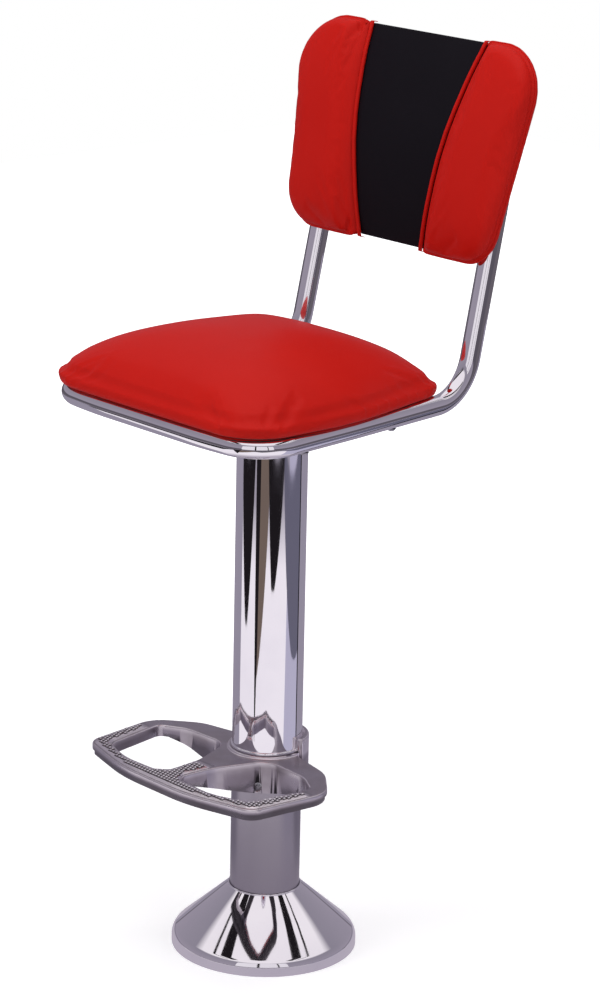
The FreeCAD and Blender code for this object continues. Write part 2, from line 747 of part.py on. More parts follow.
def swept(name, path, radius):
    """A round bar swept along the frame's centre line."""
    points = frame_points()
    along = (points[1] - points[0]).normalize()
    circle = doc.addObject("Part::Circle", name + "_circle")
    bind(circle, "Radius", radius)
    circle.Placement = FreeCAD.Placement(points[0], FreeCAD.Rotation(Vector(0, 0, 1), along))
    sweep = doc.addObject("Part::Sweep", name)
    sweep.Sections = [circle]
    sweep.Spine = (path, ["Edge%d" % (i + 1) for i in range(len(path.Shape.Edges))])
    sweep.Solid = True
    sweep.Frenet = False
    return sweep


def rail_point(y):
    """Centre of the left side rail at a place along the seat."""
    corner = Vector(size("CornerX"), size("CornerY"), 0)
    side = Vector(size("SideX"), size("SideY"), 0)
    rear = Vector(size("RearX"), size("RearY"), 0)
    start, end = (corner, side) if y < side.y else (side, rear)
    share = (y - start.y) / (end.y - start.y)
    return start.x + (end.x - start.x) * share


SEAT_SCREW_Y = (-115.0, 40.0)


def seat_screw_places():
    return [(side * rail_point(y), y) for side in (1, -1) for y in SEAT_SCREW_Y]


def seat_frame():
    """One tube bent into the seat rails and both back posts, drilled for its screws."""
    path = doc.addObject("Part::Feature", "frame_path")
    path.Shape = path_wire(frame_points(), frame_radii())
    outer = swept("frame_outside", path, "{TubeRad}")
    inner = swept("frame_bore", path, "{TubeRad} - {TubeWall}")
    drills = [cylinder("seat_drill_%d" % i, "{SeatScrewRad} + 0.3", "{RailZ} - 20",
                       "{RailZ} + 20", place) for i, place in enumerate(seat_screw_places())]
    drills += [back_cylinder("back_drill_%d" % i, "{SeatScrewRad} + 0.3", -20.0, 40.0, place)
               for i, place in enumerate(back_screw_places())]
    keep(cut("frame", outer, [inner] + drills), "seat_frame")
    return outer


def cross_straps(tube):
    """Two flat bars between the side rails, their ends coped to the tube."""
    for node, y in (("front_strap", -55.0), ("rear_strap", 55.0)):
        reach = rail_point(y) - 6.0
        bar = doc.addObject("Part::Box", node + "_bar")
        bar.Length = 2 * reach
        bind(bar, "Width", "{StrapWide}")
        bind(bar, "Height", "{StrapThick}")
        bar.Placement.Base = Vector(-reach, y - size("StrapWide") / 2, STRAP_Z)
        drills = [cylinder("%s_drill_%d" % (node, i), "{BoltRad} + 0.3", "%f" % (STRAP_Z - 1),
                           "%f" % (STRAP_Z + size("StrapThick") + 1), place)
                  for i, place in enumerate(bolt_places()) if place[1] * y > 0]
        keep(cut(node, bar, [tube] + drills), node)


def post_direction():
    points = frame_points()
    return (points[0] - points[1]).normalize()


def post_plugs():
    """Bevelled caps that close the tops of the posts."""
    pieces = []
    top = frame_points()[0]
    along = post_direction()
    radius = size("TubeRad")
    bore = radius - size("TubeWall") - 0.05
    for side in (1, -1):
        stem = Part.makeCylinder(bore, 12.0, Vector(0, 0, -12.0))
        head = Part.makeCylinder(radius, 2.0)
        crown = Part.makeCone(radius, radius - 4.0, 2.0, Vector(0, 0, 2.0))
        piece = stem.fuse(head).fuse(crown)
        direction = Vector(side * along.x, along.y, along.z)
        plug = doc.addObject("Part::Feature", "plug_left" if side > 0 else "plug_right")
        plug.Shape = piece.removeSplitter()
        plug.Placement = FreeCAD.Placement(Vector(side * top.x, top.y, top.z),
                                           FreeCAD.Rotation(Vector(0, 0, 1), direction))
        pieces.append(plug)
    return group("post_plugs", pieces)


# Seat cushion and board

SEAT_HALF = [(100.0, -214.5, 800.0), (200.5, -211.0, 66.0), (203.5, -45.0, 350.0),
             (165.0, 131.0, 30.0), (70.0, 145.0, 400.0)]
SEAT_CENTRE = -36.0
SEAT_REACH = 183.0
SEAT_RINGS = [(5.0, 0.0), (0.5, 7.0), (0.5, 17.0), (4.5, 24.5), (14.3, 28.2), (32.0, 41.0),
              (58.0, 54.5), (92.0, 66.5), (145.0, 74.5)]


def seat_board():
    """Plywood that the cushion is upholstered over."""
    body = new_body("seat_board")
    outline = new_sketch(body, "board_outline", height="{CushionZ}")
    corners = offset_loop(mirrored(SEAT_HALF), size("BoardInset"))
    outline.addGeometry(rounded_loop(corners), False)
    for place in seat_screw_places():
        add_circle(outline, "{SeatScrewRad}", place)
    pad(body, outline, "board", "{BoardThick}")
    keep(body, "seat_board")
    blank = new_body("board_room")
    room = new_sketch(blank, "board_room_outline", height="{CushionZ}")
    room.addGeometry(rounded_loop(corners), False)
    pad(blank, room, "board_room_height", "{BoardThick}")
    return blank


def seat_cushion(board_room):
    """Foam under vinyl: drawn-in foot, full side, rolled edge and a high crown."""
    body = new_body("cushion_blank")
    sections = []
    for inset, rise in SEAT_RINGS:
        share = 1.0 - inset / SEAT_REACH
        sections.append((scaled(mirrored(SEAT_HALF), share, share, SEAT_CENTRE), rise))
    loft(body, "cushion_form", sections)
    keep(cut("cushion", body, [board_room]), "seat_cushion")


def seat_screws():
    """Four long screws up through the rails into the seat board."""
    pieces = []
    for index, place in enumerate(seat_screw_places()):
        shank = cylinder("seat_shank_%d" % index, "{SeatScrewRad}",
                         "{RailZ} - {TubeRad} - 0.5", "{CushionZ} + {BoardThick} - 1", place)
        head = doc.addObject("Part::Cone", "seat_head_%d" % index)
        head.Radius1 = 3.6
        head.Radius2 = 5.8
        head.Height = 2.6
        head.Placement.Base = Vector(place[0], place[1], size("RailZ") - size("TubeRad") - 2.6)
        pieces.append(fuse("seat_screw_%d" % index, [head, shank]))
    return group("seat_screws", pieces)


# Back cushion, in its own frame: x across, y up the posts, z forward of the post line

BACK_TURN = 90.0 - math.degrees(math.atan(size("ReclineSlope")))
BACK_PLACE = FreeCAD.Placement(Vector(0, size("RearY"), size("RailZ")),
                               FreeCAD.Rotation(Vector(1, 0, 0), BACK_TURN))
BACK_MIDDLE = (size("BackLow") + size("BackHigh")) / 2


def back_outline():
    """Rounded trapezium, wider at the top, with slightly bowed edges."""
    low = size("BackLow")
    high = size("BackHigh")
    wide_low = size("BackWideLow")
    wide_high = size("BackWideHigh")
    half = [(wide_low, low, 42.0), ((wide_low + wide_high) / 2 + 0.6, (low + high) / 2, 500.0),
            (wide_high, high, 60.0)]
    return mirrored(half)


def back_insets(corners, side, end):
    """The outline drawn in by one inset at the sides and another at the top and bottom."""
    across = 1.0 - side / size("BackWideHigh")
    along = 1.0 - end / ((size("BackHigh") - size("BackLow")) / 2)
    return scaled(corners, across, along, BACK_MIDDLE)


REAR_FACE = size("TubeRad") + 0.3
FORM_REAR = size("BackBoardO")
BOARD_SIDE = 12.0
BOARD_END = 40.0
RED_RINGS = [(3.0, 3.0, 0.0), (0.0, 0.0, 4.0), (0.0, 1.5, 12.0), (0.0, 6.0, 20.0),
             (1.5, 14.0, 26.0), (6.0, 26.0, 30.0), (14.0, 44.0, 32.5), (34.0, 70.0, 34.0),
             (60.0, 100.0, 34.8)]
BLACK_RINGS = [(8.0, 1.5, 0.0), (7.0, 0.0, 1.2), (9.0, 14.0, 5.0), (15.0, 29.0, 9.0),
               (22.0, 44.0, 12.3), (30.0, 59.0, 15.0), (45.0, 89.0, 19.3), (60.0, 118.0, 22.0)]
FLANK_WIDE = 24.0
FLANK_HIGH = 22.0


def back_form(name, rings):
    """Padded form of the back through stacked outlines, before it is parted at the seams."""
    body = new_body(name)
    corners = back_outline()
    loft(body, name + "_form", [(back_insets(corners, side, end), rise)
                                for side, end, rise in rings], height="%f" % FORM_REAR)
    return body


SEAM_SLOPE = (size("SeamHigh") - size("SeamLow")) / (size("BackHigh") - size("BackLow"))


def seam_at(rise):
    """Half spacing of the V seams at a height up the back."""
    return size("SeamLow") + SEAM_SLOPE * (rise - size("BackLow"))


def seam_wedge(name, gap):
    """A prism over the V between the seams, widened by a gap."""
    body = new_body(name)
    start = FORM_REAR - 5.0
    outline = new_sketch(body, name + "_outline", height="%f" % start)
    low = size("BackLow") - 20.0
    high = size("BackHigh") + 20.0
    narrow = seam_at(low) + gap
    broad = seam_at(high) + gap
    outline.addGeometry(closed_lines([(-narrow, low), (narrow, low), (broad, high),
                                      (-broad, high)]), False)
    pad(body, outline, name + "_prism", "60")
    return body


def insert_arch():
    """Places (up the back, out from the posts) along the insert's front, from the bottom up."""
    climb = [(end, FORM_REAR + rise) for _, end, rise in BLACK_RINGS[1:]]
    lower = [(size("BackLow") + end, out) for end, out in climb]
    upper = [(size("BackHigh") - end, out) for end, out in reversed(climb)]
    return lower + upper


def seam_flank(name, side):
    """Tool that slopes a pad down to the insert's front all along its seam."""
    arch = insert_arch()
    stations = [(arch[0][0] - 15.0, arch[0][1])] + arch + [(arch[-1][0] + 15.0, arch[-1][1])]
    wires = []
    for rise, out in stations:
        edge = seam_at(rise)
        corners = [(edge - 4.0, out), (edge, out), (edge + FLANK_WIDE, out + FLANK_HIGH),
                   (edge + FLANK_WIDE, out + 40.0), (edge - 4.0, out + 40.0)]
        places = [Vector(side * across, rise, depth) for across, depth in corners]
        wires.append(Part.makePolygon(places + places[:1]))
    tool = doc.addObject("Part::Feature", name)
    tool.Shape = Part.makeLoft(wires, True, True)
    return tool


def back_half(name, side):
    """A block over one side of the back."""
    block = doc.addObject("Part::Box", name)
    block.Length = 260.0
    block.Width = 400.0
    block.Height = 90.0
    block.Placement.Base = Vector(0.0 if side > 0 else -260.0, size("BackLow") - 60.0,
                                  FORM_REAR - 10.0)
    return block


def placed_back(thing, node):
    thing.Placement = BACK_PLACE
    return keep(thing, node)


def back_screw_places():
    """Two screws up each post, given across and up the back."""
    places = []
    for rise in (232.0, 325.0):
        share = rise * math.cos(math.radians(90.0 - BACK_TURN))
        places += [(side * (size("RearX") + size("ToeSlope") * share), rise)
                   for side in (1, -1)]
    return places


def back_cylinder(name, radius, low, high, place):
    """A cylinder square to the back, between two depths of its own frame."""
    thing = doc.addObject("Part::Cylinder", name)
    bind(thing, "Radius", radius)
    thing.Height = high - low
    local = FreeCAD.Placement(Vector(place[0], place[1], low), FreeCAD.Rotation())
    thing.Placement = BACK_PLACE.multiply(local)
    return thing


def back_pads():
    """Two red pads and the lower black insert between them."""
    red = back_form("red_blank", RED_RINGS)
    black = back_form("black_blank", BLACK_RINGS)
    inner = seam_wedge("insert_wedge", -0.2)
    outer = seam_wedge("pad_wedge", 0.2)
    board = board_body("board_space", False)
    for side, node in ((1, "back_pad_left"), (-1, "back_pad_right")):
        sided = doc.addObject("Part::Common", node + "_side")
        sided.Base = red
        sided.Tool = back_half(node + "_block", side)
        flank = seam_flank(node + "_flank", side)
        placed_back(cut(node, sided, [outer, flank, board]), node)
    insert = doc.addObject("Part::Common", "insert")
    insert.Base = black
    insert.Tool = inner
    placed_back(cut("insert_hollowed", insert, [board]), "back_insert")


def back_plate(name, low, high, insets, radius_cut):
    """A flat layer of the back between two depths, drilled if it has a radius to cut."""
    body = new_body(name)
    outline = new_sketch(body, name + "_outline", height="%f" % low)
    outline.addGeometry(rounded_loop(back_insets(back_outline(), *insets)), False)
    if radius_cut:
        for place in back_screw_places():
            add_circle(outline, radius_cut, place)
    pad(body, outline, name + "_layer", "%f" % (high - low))
    return body


def board_body(name, drilled):
    """The back plywood, or the room that the padding leaves for it."""
    low = size("BackBoardO")
    radius_cut = "{SeatScrewRad}" if drilled else None
    return back_plate(name, low, low + size("BackBoardThick"), (BOARD_SIDE, BOARD_END),
                      radius_cut)


def back_layers():
    """Rear cover panel and the plywood in front of it."""
    panel = back_plate("rear_panel", REAR_FACE, size("BackBoardO"), (6.0, 6.0),
                       "{SeatScrewRad} + 0.3")
    placed_back(panel, "back_rear_panel")
    placed_back(board_body("back_plywood", True), "back_board")


def piping(name, points, radii, node):
    """A round cord of piping swept on a path of runs and arcs."""
    wire = path_wire(points, radii)
    along = (points[1] - points[0]).normalize()
    circle = Part.Wire(Part.makeCircle(size("WeltRad"), points[0], along))
    cord = doc.addObject("Part::Feature", name)
    cord.Shape = wire.makePipeShell([circle], True, False)
    return placed_back(cord, node)


def seam_piping():
    """Piping that lies on the insert along both V seams and wraps over its two ends."""
    radius = size("WeltRad")
    clear = 1.1 * radius + 0.3
    beyond = radius + 0.3
    arch = [(rise, out + clear) for rise, out in insert_arch()[1:-1]]
    low = size("BackLow") - beyond
    high = size("BackHigh") + beyond
    brow = FORM_REAR + 4.5
    route = [(low, REAR_FACE + 0.5), (low, brow)] + arch + [(high, brow), (high, REAR_FACE + 0.5)]
    radii = [5.0] + [10.0 * radius] * len(arch) + [5.0]
    for side, node in ((1, "left_piping"), (-1, "right_piping")):
        points = [Vector(side * (seam_at(rise) - beyond), rise, forward)
                  for rise, forward in route]
        piping(node + "_cord", points, radii, node)


def back_screws():
    """Four screws from behind each post, through the tube and into the plywood."""
    pieces = []
    rear = -size("TubeRad")
    for index, place in enumerate(back_screw_places()):
        shank = back_cylinder("back_shank_%d" % index, "{SeatScrewRad}", rear - 0.5,
                              size("BackBoardO") + size("BackBoardThick") - 0.5, place)
        head = doc.addObject("Part::Cone", "back_head_%d" % index)
        head.Radius1 = 3.6
        head.Radius2 = 5.8
        head.Height = 2.4
        local = FreeCAD.Placement(Vector(place[0], place[1], rear - 2.4), FreeCAD.Rotation())
        head.Placement = BACK_PLACE.multiply(local)
        pieces.append(fuse("back_screw_%d" % index, [head, shank]))
    return group("back_screws", pieces)


def build():
    floor_flange()
    base_cover()
    column()
    hub_ring()
    finished_footrest()
    set_screws()
    swivel_housing()
    bushes()
    thrust_bearing()
    spindle()
    swivel_plate()
    hex_bolts()
    tube = seat_frame()
    cross_straps(tube)
    post_plugs()
    room = seat_board()
    seat_cushion(room)
    seat_screws()
    back_pads()
    back_layers()
    seam_piping()
    back_screws()
    doc.recompute()


def check_and_write():
    """Stop on any failed object or bad shape, then write each sub-part to its file."""
    for thing in doc.Objects:
        if "Invalid" in thing.State or "Error" in thing.State:
            raise RuntimeError("failed: %s %s" % (thing.Name, thing.State))
    for thing in NODES:
        shape = thing.Shape
        if shape.isNull() or not shape.isValid() or not shape.Solids:
            raise RuntimeError("bad shape: " + thing.Label)
        print("%-22s solids %2d  volume %9.1f cm3  x %.1f..%.1f y %.1f..%.1f z %.1f..%.1f" % (
            thing.Label, len(shape.Solids), shape.Volume / 1000.0,
            shape.BoundBox.XMin, shape.BoundBox.XMax, shape.BoundBox.YMin,
            shape.BoundBox.YMax, shape.BoundBox.ZMin, shape.BoundBox.ZMax))
        shape.exportStep("parts/%s.step" % thing.Label)


build()
check_and_write()
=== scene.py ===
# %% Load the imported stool
import math

import bpy
from mathutils import Matrix, Vector
from mathutils.bvhtree import BVHTree


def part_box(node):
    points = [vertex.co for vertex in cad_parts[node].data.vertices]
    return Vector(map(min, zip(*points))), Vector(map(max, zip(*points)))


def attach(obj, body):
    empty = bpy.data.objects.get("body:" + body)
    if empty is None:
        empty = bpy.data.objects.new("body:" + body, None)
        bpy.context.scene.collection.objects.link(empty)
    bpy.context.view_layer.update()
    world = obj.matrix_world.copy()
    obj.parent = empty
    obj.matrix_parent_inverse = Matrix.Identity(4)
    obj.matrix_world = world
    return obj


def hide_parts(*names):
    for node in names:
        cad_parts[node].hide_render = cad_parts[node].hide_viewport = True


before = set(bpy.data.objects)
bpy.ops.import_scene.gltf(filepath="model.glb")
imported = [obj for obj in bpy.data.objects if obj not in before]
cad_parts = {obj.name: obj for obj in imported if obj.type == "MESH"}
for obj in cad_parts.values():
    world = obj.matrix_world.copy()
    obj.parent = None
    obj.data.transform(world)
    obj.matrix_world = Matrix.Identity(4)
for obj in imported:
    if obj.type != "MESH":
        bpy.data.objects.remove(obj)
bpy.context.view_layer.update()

MM = 0.001

# %% [markdown]
# The picture was taken with a long lens from standing eye height, off the sitter's front left.
# The camera could be dragged into place by eye. Here its place was worked out by matching the
# stool's straight tubes and circles, so its numbers are written down once.

# %% Camera
AZIMUTH = math.radians(48.328)
DISTANCE = 4.0078
HEIGHT = 1.7608
YAW = math.radians(-0.5045)
PITCH = math.radians(16.2785)
ROLL = math.radians(1.2008)
FOCAL_PIXELS = 3366.07
PICTURE_HEIGHT = 1000
SENSOR = 36.0

bpy.ops.object.select_all(action="DESELECT")
bpy.ops.object.camera_add()
camera = bpy.context.object
camera.data.sensor_width = SENSOR
camera.data.lens = FOCAL_PIXELS / PICTURE_HEIGHT * SENSOR
facing = AZIMUTH + YAW
forward = Vector((-math.sin(facing) * math.cos(PITCH), math.cos(facing) * math.cos(PITCH),
                  -math.sin(PITCH)))
level_right = forward.cross(Vector((0, 0, 1))).normalized()
level_up = level_right.cross(forward)
picture_right = level_right * math.cos(ROLL) + level_up * math.sin(ROLL)
picture_up = level_up * math.cos(ROLL) - level_right * math.sin(ROLL)
turn = Matrix((picture_right, picture_up, -forward)).transposed().to_4x4()
eye = Vector((DISTANCE * math.sin(AZIMUTH), -DISTANCE * math.cos(AZIMUTH), HEIGHT))
camera.matrix_world = Matrix.Translation(eye) @ turn
bpy.context.scene.camera = camera
bpy.context.scene.view_settings.view_transform = "Standard"
print("lens", round(camera.data.lens, 2), "mm")

# %% [markdown]
# A finish is a small network of nodes, and most of it is arithmetic: a mask times a colour,
# one noise added to another. The nodes could be placed one by one. Wrapping a socket in a
# class that knows plus, minus and times lets the arithmetic be written as arithmetic.

# %% Sockets that can be added and multiplied
class Signal:
    """An output of a finish's network. Arithmetic on it adds Math nodes."""

    def __init__(self, finish, output):
        self.finish = finish
        self.output = output

    def maths(self, operation, first, second):
        return self.finish.node("ShaderNodeMath", {"operation": operation},
                                {0: first, 1: second})

    def __add__(self, other):
        return self.maths("ADD", self, other)

    __radd__ = __add__

    def __sub__(self, other):
        return self.maths("SUBTRACT", self, other)

    def __rsub__(self, other):
        return self.maths("SUBTRACT", other, self)

    def __mul__(self, other):
        return self.maths("MULTIPLY", self, other)

    __rmul__ = __mul__


class Finish:
    """A material: its network, its shader and a few shorthands for common nodes."""

    def __init__(self, name):
        self.material = bpy.data.materials.new(name)
        self.material.use_nodes = True
        self.tree = self.material.node_tree
        self.tree.nodes.clear()
        self.shader = self.tree.nodes.new("ShaderNodeBsdfPrincipled")
        self.exit = self.tree.nodes.new("ShaderNodeOutputMaterial")
        self.tree.links.new(self.shader.outputs[0], self.exit.inputs[0])

    def plug(self, node, values):
        for key, value in values.items():
            if isinstance(value, Signal):
                self.tree.links.new(value.output, node.inputs[key])
            else:
                node.inputs[key].default_value = value

    def node(self, kind, settings, values, take=0):
        """Any node: settings first, then its sockets, giving one of its outputs."""
        node = self.tree.nodes.new(kind)
        stops = settings.pop("stops", None)
        for key, value in settings.items():
            setattr(node, key, value)
        if stops:
            ramp = node.color_ramp
            while len(ramp.elements) < len(stops):
                ramp.elements.new(0.5)
            for element, (place, shade) in zip(ramp.elements, stops):
                element.position = place
                element.color = (shade, shade, shade, 1)
        self.plug(node, values)
        return Signal(self, node.outputs[take])

    def place(self, stretch=(1, 1, 1)):
        """Object coordinates, stretched to lay a pattern along one direction."""
        coordinates = self.node("ShaderNodeTexCoord", {}, {}, "Object")
        return self.node("ShaderNodeMapping", {}, {"Vector": coordinates, "Scale": stretch})

    def noise(self, scale, detail=3.0, stretch=(1, 1, 1)):
        return self.node("ShaderNodeTexNoise", {},
                         {"Vector": self.place(stretch), "Scale": scale, "Detail": detail})

    def grain(self, scale, stretch=(1, 1, 1)):
        """Small cells, dark in their middles, as in embossed vinyl or sand cast metal."""
        return self.node("ShaderNodeTexVoronoi", {},
                         {"Vector": self.place(stretch), "Scale": scale})

    def blend(self, mask, first, second):
        """The first colour where the mask is 0, the second where it is 1."""
        ends = [end if isinstance(end, Signal) else end + (1,) for end in (first, second)]
        return self.node("ShaderNodeMix", {"data_type": "RGBA"},
                         {0: mask, 6: ends[0], 7: ends[1]}, 2)

    def sharpen(self, signal, low, high):
        """A signal turned to a mask between two levels."""
        return self.node("ShaderNodeValToRGB", {"stops": [(low, 0.0), (high, 1.0)]},
                         {0: signal})

    def bump(self, signal, depth, strength=1.0):
        return self.node("ShaderNodeBump", {}, {"Height": signal, "Distance": depth,
                                                "Strength": strength})

    def done(self, **sockets):
        """Sets the shader's sockets, whose names are given with _ for a space."""
        self.plug(self.shader, {key.replace("_", " "): value
                                for key, value in sockets.items()})
        return self.material


# %% [markdown]
# Chrome plate is a mirror with a faint violet cast. A perfect mirror looks drawn, so its
# roughness drifts a little, as wiped and handled plate does. The upper sleeve, the base, the
# ring over the hub, the seat frame and the straps under the seat share this finish.

# %% Chrome plate
def chrome_plate():
    finish = Finish("chrome_plate")
    smears = finish.sharpen(finish.noise(14.0, 4.0), 0.45, 0.75)
    tint = finish.blend(smears, (0.93, 0.91, 0.95), (0.88, 0.86, 0.91))
    return finish.done(Base_Color=tint, Metallic=1.0, Roughness=smears * 0.04 + 0.03)


# %% [markdown]
# The sleeve under the footrest isn't polished: it is turned and left with fine rings. A
# noise that is squeezed along the column's height gives those rings, and they drive the
# roughness and a very shallow bump.

# %% Satin steel
def satin_steel():
    finish = Finish("satin_steel")
    rings = finish.noise(60.0, 6.0, (0.35, 0.35, 22.0))
    drift = finish.noise(9.0, 2.0)
    tint = finish.blend(drift, (0.36, 0.335, 0.385), (0.47, 0.44, 0.485))
    return finish.done(Base_Color=tint, Metallic=1.0, Roughness=rings * 0.12 + 0.27,
                       Normal=finish.bump(rings, 0.00008, 0.5))


# %% [markdown]
# The footrest is sand cast aluminium, tumbled and left bare. It has a soft shine, a pitted
# skin and darker stains. Two noises make the stains and the pits. Faces that look down are
# painted nearly black as shade, which the polished base below mirrors. Its upper edges are
# lighter, partly rubbed bright by shoes and partly a painted highlight, and the height of a
# point and its slope find those.

# %% Cast aluminium
LIP_LOW = 261.0 * MM
LIP_HIGH = 263.2 * MM


def cast_aluminium():
    finish = Finish("cast_aluminium")
    stain = finish.sharpen(finish.noise(22.0, 5.0), 0.35, 0.7)
    pits = finish.noise(520.0, 3.0)
    skin = finish.blend(stain, (0.50, 0.46, 0.51), (0.37, 0.33, 0.36))
    facing = finish.node("ShaderNodeNewGeometry", {}, {}, "Normal")
    up = finish.node("ShaderNodeSeparateXYZ", {}, {0: facing}, "Z")
    # Faces that look down are painted nearly black: a painted shade on the underside.
    painted_shade_below = finish.sharpen(up * -1.0, 0.6, 0.9)
    height = finish.node("ShaderNodeSeparateXYZ", {}, {0: finish.place()}, "Z")
    # The band under the top edge is lighter: rubbed bright by shoes and partly a painted
    # highlight.
    rubbed_lip_and_highlight = finish.sharpen(height, LIP_LOW, LIP_HIGH) * finish.sharpen(up * -1.0 + 1.0, 0.06, 0.16)
    rubbed_and_highlighted = finish.blend(rubbed_lip_and_highlight, skin, (0.90, 0.85, 0.89))
    tint = finish.blend(painted_shade_below, rubbed_and_highlighted, (0.045, 0.04, 0.045))
    return finish.done(Base_Color=tint, Metallic=1.0, Roughness=stain * 0.10 + 0.27,
                       Normal=finish.bump(pits, 0.0002, 0.5))


# %% [markdown]
# The tread is darker and rougher low down between the pyramids and brighter and smoother at
# their tips. Height and a little noise drive the colour and roughness of the pyramids.

# %% Tread by height
TREAD_TOP = 266.2 * MM
TREAD_HIGH = 2.2 * MM


def tread_by_height():
    finish = Finish("tread_by_height")
    height = finish.node("ShaderNodeSeparateXYZ", {}, {0: finish.place()}, "Z")
    share = (height - TREAD_TOP) * (1.0 / TREAD_HIGH)
    # This mask is height and noise only: 0 low between the pyramids, 1 at their tips.
    worn = finish.sharpen(share + finish.noise(90.0, 3.0) * 0.3, 0.42, 0.85)
    tint = finish.blend(worn, (0.09, 0.075, 0.085), (0.90, 0.86, 0.90))
    return finish.done(Base_Color=tint, Metallic=1.0, Roughness=0.5 - worn * 0.3)


# %% [markdown]
# Seat vinyl has an embossed leather grain under a millimetre across. It is not a mirror and
# not chalk: a broad sheen lies over a deep colour. The grain is a cell pattern broken up by
# noise, and a slow noise lets the colour drift slightly, as it does in stretched vinyl.

# %% Vinyl
def vinyl(name, deep, stretched, roughness):
    finish = Finish(name)
    cells = finish.grain(1500.0)
    creases = finish.noise(420.0, 4.0)
    drift = finish.noise(7.0, 2.0)
    tint = finish.blend(drift, deep, stretched)
    skin = cells * 0.6 + creases * 0.7
    return finish.done(Base_Color=tint, Roughness=creases * 0.12 + roughness,
                       Specular_IOR_Level=0.08, Normal=finish.bump(skin, 0.00022, 0.35))


# %% [markdown]
# The rest is mostly inside, below or behind: black steel, zinc plated fasteners, bronze,
# ground bearing steel, a cast iron flange, plywood and plastic plugs. Each still gets the
# mark of how it was made. The seat board's plywood is painted nearly black instead, as a
# painted shade where it shows in the gap under the cushion.

# %% Finishes of the other pieces
def plated_metal(name, bright, dull, roughness, scale=40.0):
    finish = Finish(name)
    cloud = finish.noise(scale, 5.0)
    tint = finish.blend(cloud, bright, dull)
    return finish.done(Base_Color=tint, Metallic=1.0, Roughness=cloud * 0.15 + roughness)


def painted(name, shade, worn, roughness, depth):
    finish = Finish(name)
    peel = finish.noise(300.0, 3.0)
    scuff = finish.sharpen(finish.noise(28.0, 6.0), 0.6, 0.75)
    tint = finish.blend(scuff, shade, worn)
    return finish.done(Base_Color=tint, Roughness=scuff * 0.15 + roughness,
                       Normal=finish.bump(peel, depth, 0.4))


def plywood():
    finish = Finish("plywood")
    figure = finish.noise(30.0, 6.0, (1.0, 9.0, 9.0))
    pores = finish.noise(260.0, 4.0, (0.2, 4.0, 4.0))
    tint = finish.blend(figure, (0.58, 0.40, 0.22), (0.38, 0.24, 0.12))
    return finish.done(Base_Color=tint, Roughness=pores * 0.15 + 0.6,
                       Normal=finish.bump(pores, 0.0002, 0.5))


CHROME = chrome_plate()
SATIN = satin_steel()
CAST = cast_aluminium()
TREAD = tread_by_height()
RED = vinyl("red_vinyl", (0.50, 0.0075, 0.0045), (0.55, 0.0110, 0.0065), 0.36)
BLACK = vinyl("black_vinyl", (0.0052, 0.0042, 0.0065), (0.0085, 0.0070, 0.0100), 0.42)
ZINC = plated_metal("zinc_plate", (0.66, 0.66, 0.68), (0.48, 0.48, 0.52), 0.22)
BRONZE = plated_metal("bronze", (0.62, 0.40, 0.18), (0.44, 0.27, 0.12), 0.28)
BEARING = plated_metal("bearing_steel", (0.62, 0.62, 0.64), (0.52, 0.52, 0.55), 0.12)
PIPE = plated_metal("pipe_steel", (0.36, 0.35, 0.36), (0.24, 0.23, 0.23), 0.38)
IRON = painted("cast_iron", (0.035, 0.035, 0.037), (0.09, 0.085, 0.08), 0.6, 0.0006)
BLACK_STEEL = painted("black_steel", (0.012, 0.012, 0.013), (0.05, 0.05, 0.05), 0.35, 0.0001)
PLUG = painted("black_plug", (0.014, 0.014, 0.015), (0.03, 0.03, 0.03), 0.45, 0.0001)
PLYWOOD = plywood()
# The seat board is painted nearly black: a painted shade for the gap under the seat cushion.
SHADE_DARK_PLYWOOD = painted("plywood_darkened_as_shade", (0.012, 0.010, 0.010), (0.045, 0.030, 0.022), 0.6, 0.0003)

NODE_FINISH = {
    "floor_flange": IRON, "column_pipe": PIPE, "footrest_set_screws": ZINC,
    "swivel_housing": CHROME, "lower_bush": BRONZE, "upper_bush": BRONZE,
    "lower_race": BEARING, "upper_race": BEARING, "roller_cage": BRONZE,
    "bearing_rollers": BEARING, "swivel_spindle": PIPE, "spindle_washer": ZINC,
    "spindle_nut": ZINC, "cotter_pin": ZINC, "swivel_plate": BLACK_STEEL,
    "swivel_bolts": ZINC, "swivel_nuts": ZINC, "front_strap": CHROME, "rear_strap": CHROME,
    "post_plugs": PLUG, "seat_board": SHADE_DARK_PLYWOOD, "seat_screws": ZINC, "back_board": PLYWOOD,
    "back_screws": ZINC,
}
for node, material in NODE_FINISH.items():
    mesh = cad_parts[node].data
    mesh.materials.clear()
    mesh.materials.append(material)
print(len(NODE_FINISH), "CAD pieces keep their shape and get a finish")

# %% [markdown]
# Most edits follow one pattern: select one piece, enter edit mode, do something, leave. Small
# helpers for those steps keep each later cell about the stool and not about selection.

# %% Editing helpers
def pick(piece):
    bpy.ops.object.select_all(action="DESELECT")
    piece.select_set(True)
    bpy.context.view_layer.objects.active = piece


def open_edit(piece):
    pick(piece)
    bpy.ops.object.mode_set(mode="EDIT")


def close_edit():
    bpy.ops.object.mode_set(mode="OBJECT")


def settle(piece):
    """Moves the piece's place into its mesh."""
    pick(piece)
    bpy.ops.object.transform_apply(location=True, rotation=True, scale=True)


def apply_modifier(piece, kind, **settings):
    pick(piece)
    modifier = piece.modifiers.new(kind.title(), kind)
    for key, value in settings.items():
        setattr(modifier, key, value)
    bpy.ops.object.modifier_apply(modifier=modifier.name)


def finish_piece(piece, name, material, slot, body, *nodes, smooth=35.0):
    """Names a piece, gives it its finish and body, and hides the CAD nodes it stands for."""
    settle(piece)
    piece.name = name
    piece.data.name = name
    piece.data.materials.clear()
    piece.data.materials.append(material)
    bpy.ops.object.shade_smooth_by_angle(angle=math.radians(smooth))
    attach(piece, body)
    if nodes:
        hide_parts(*nodes)
    print(name, len(piece.data.polygons), "faces")
    return piece


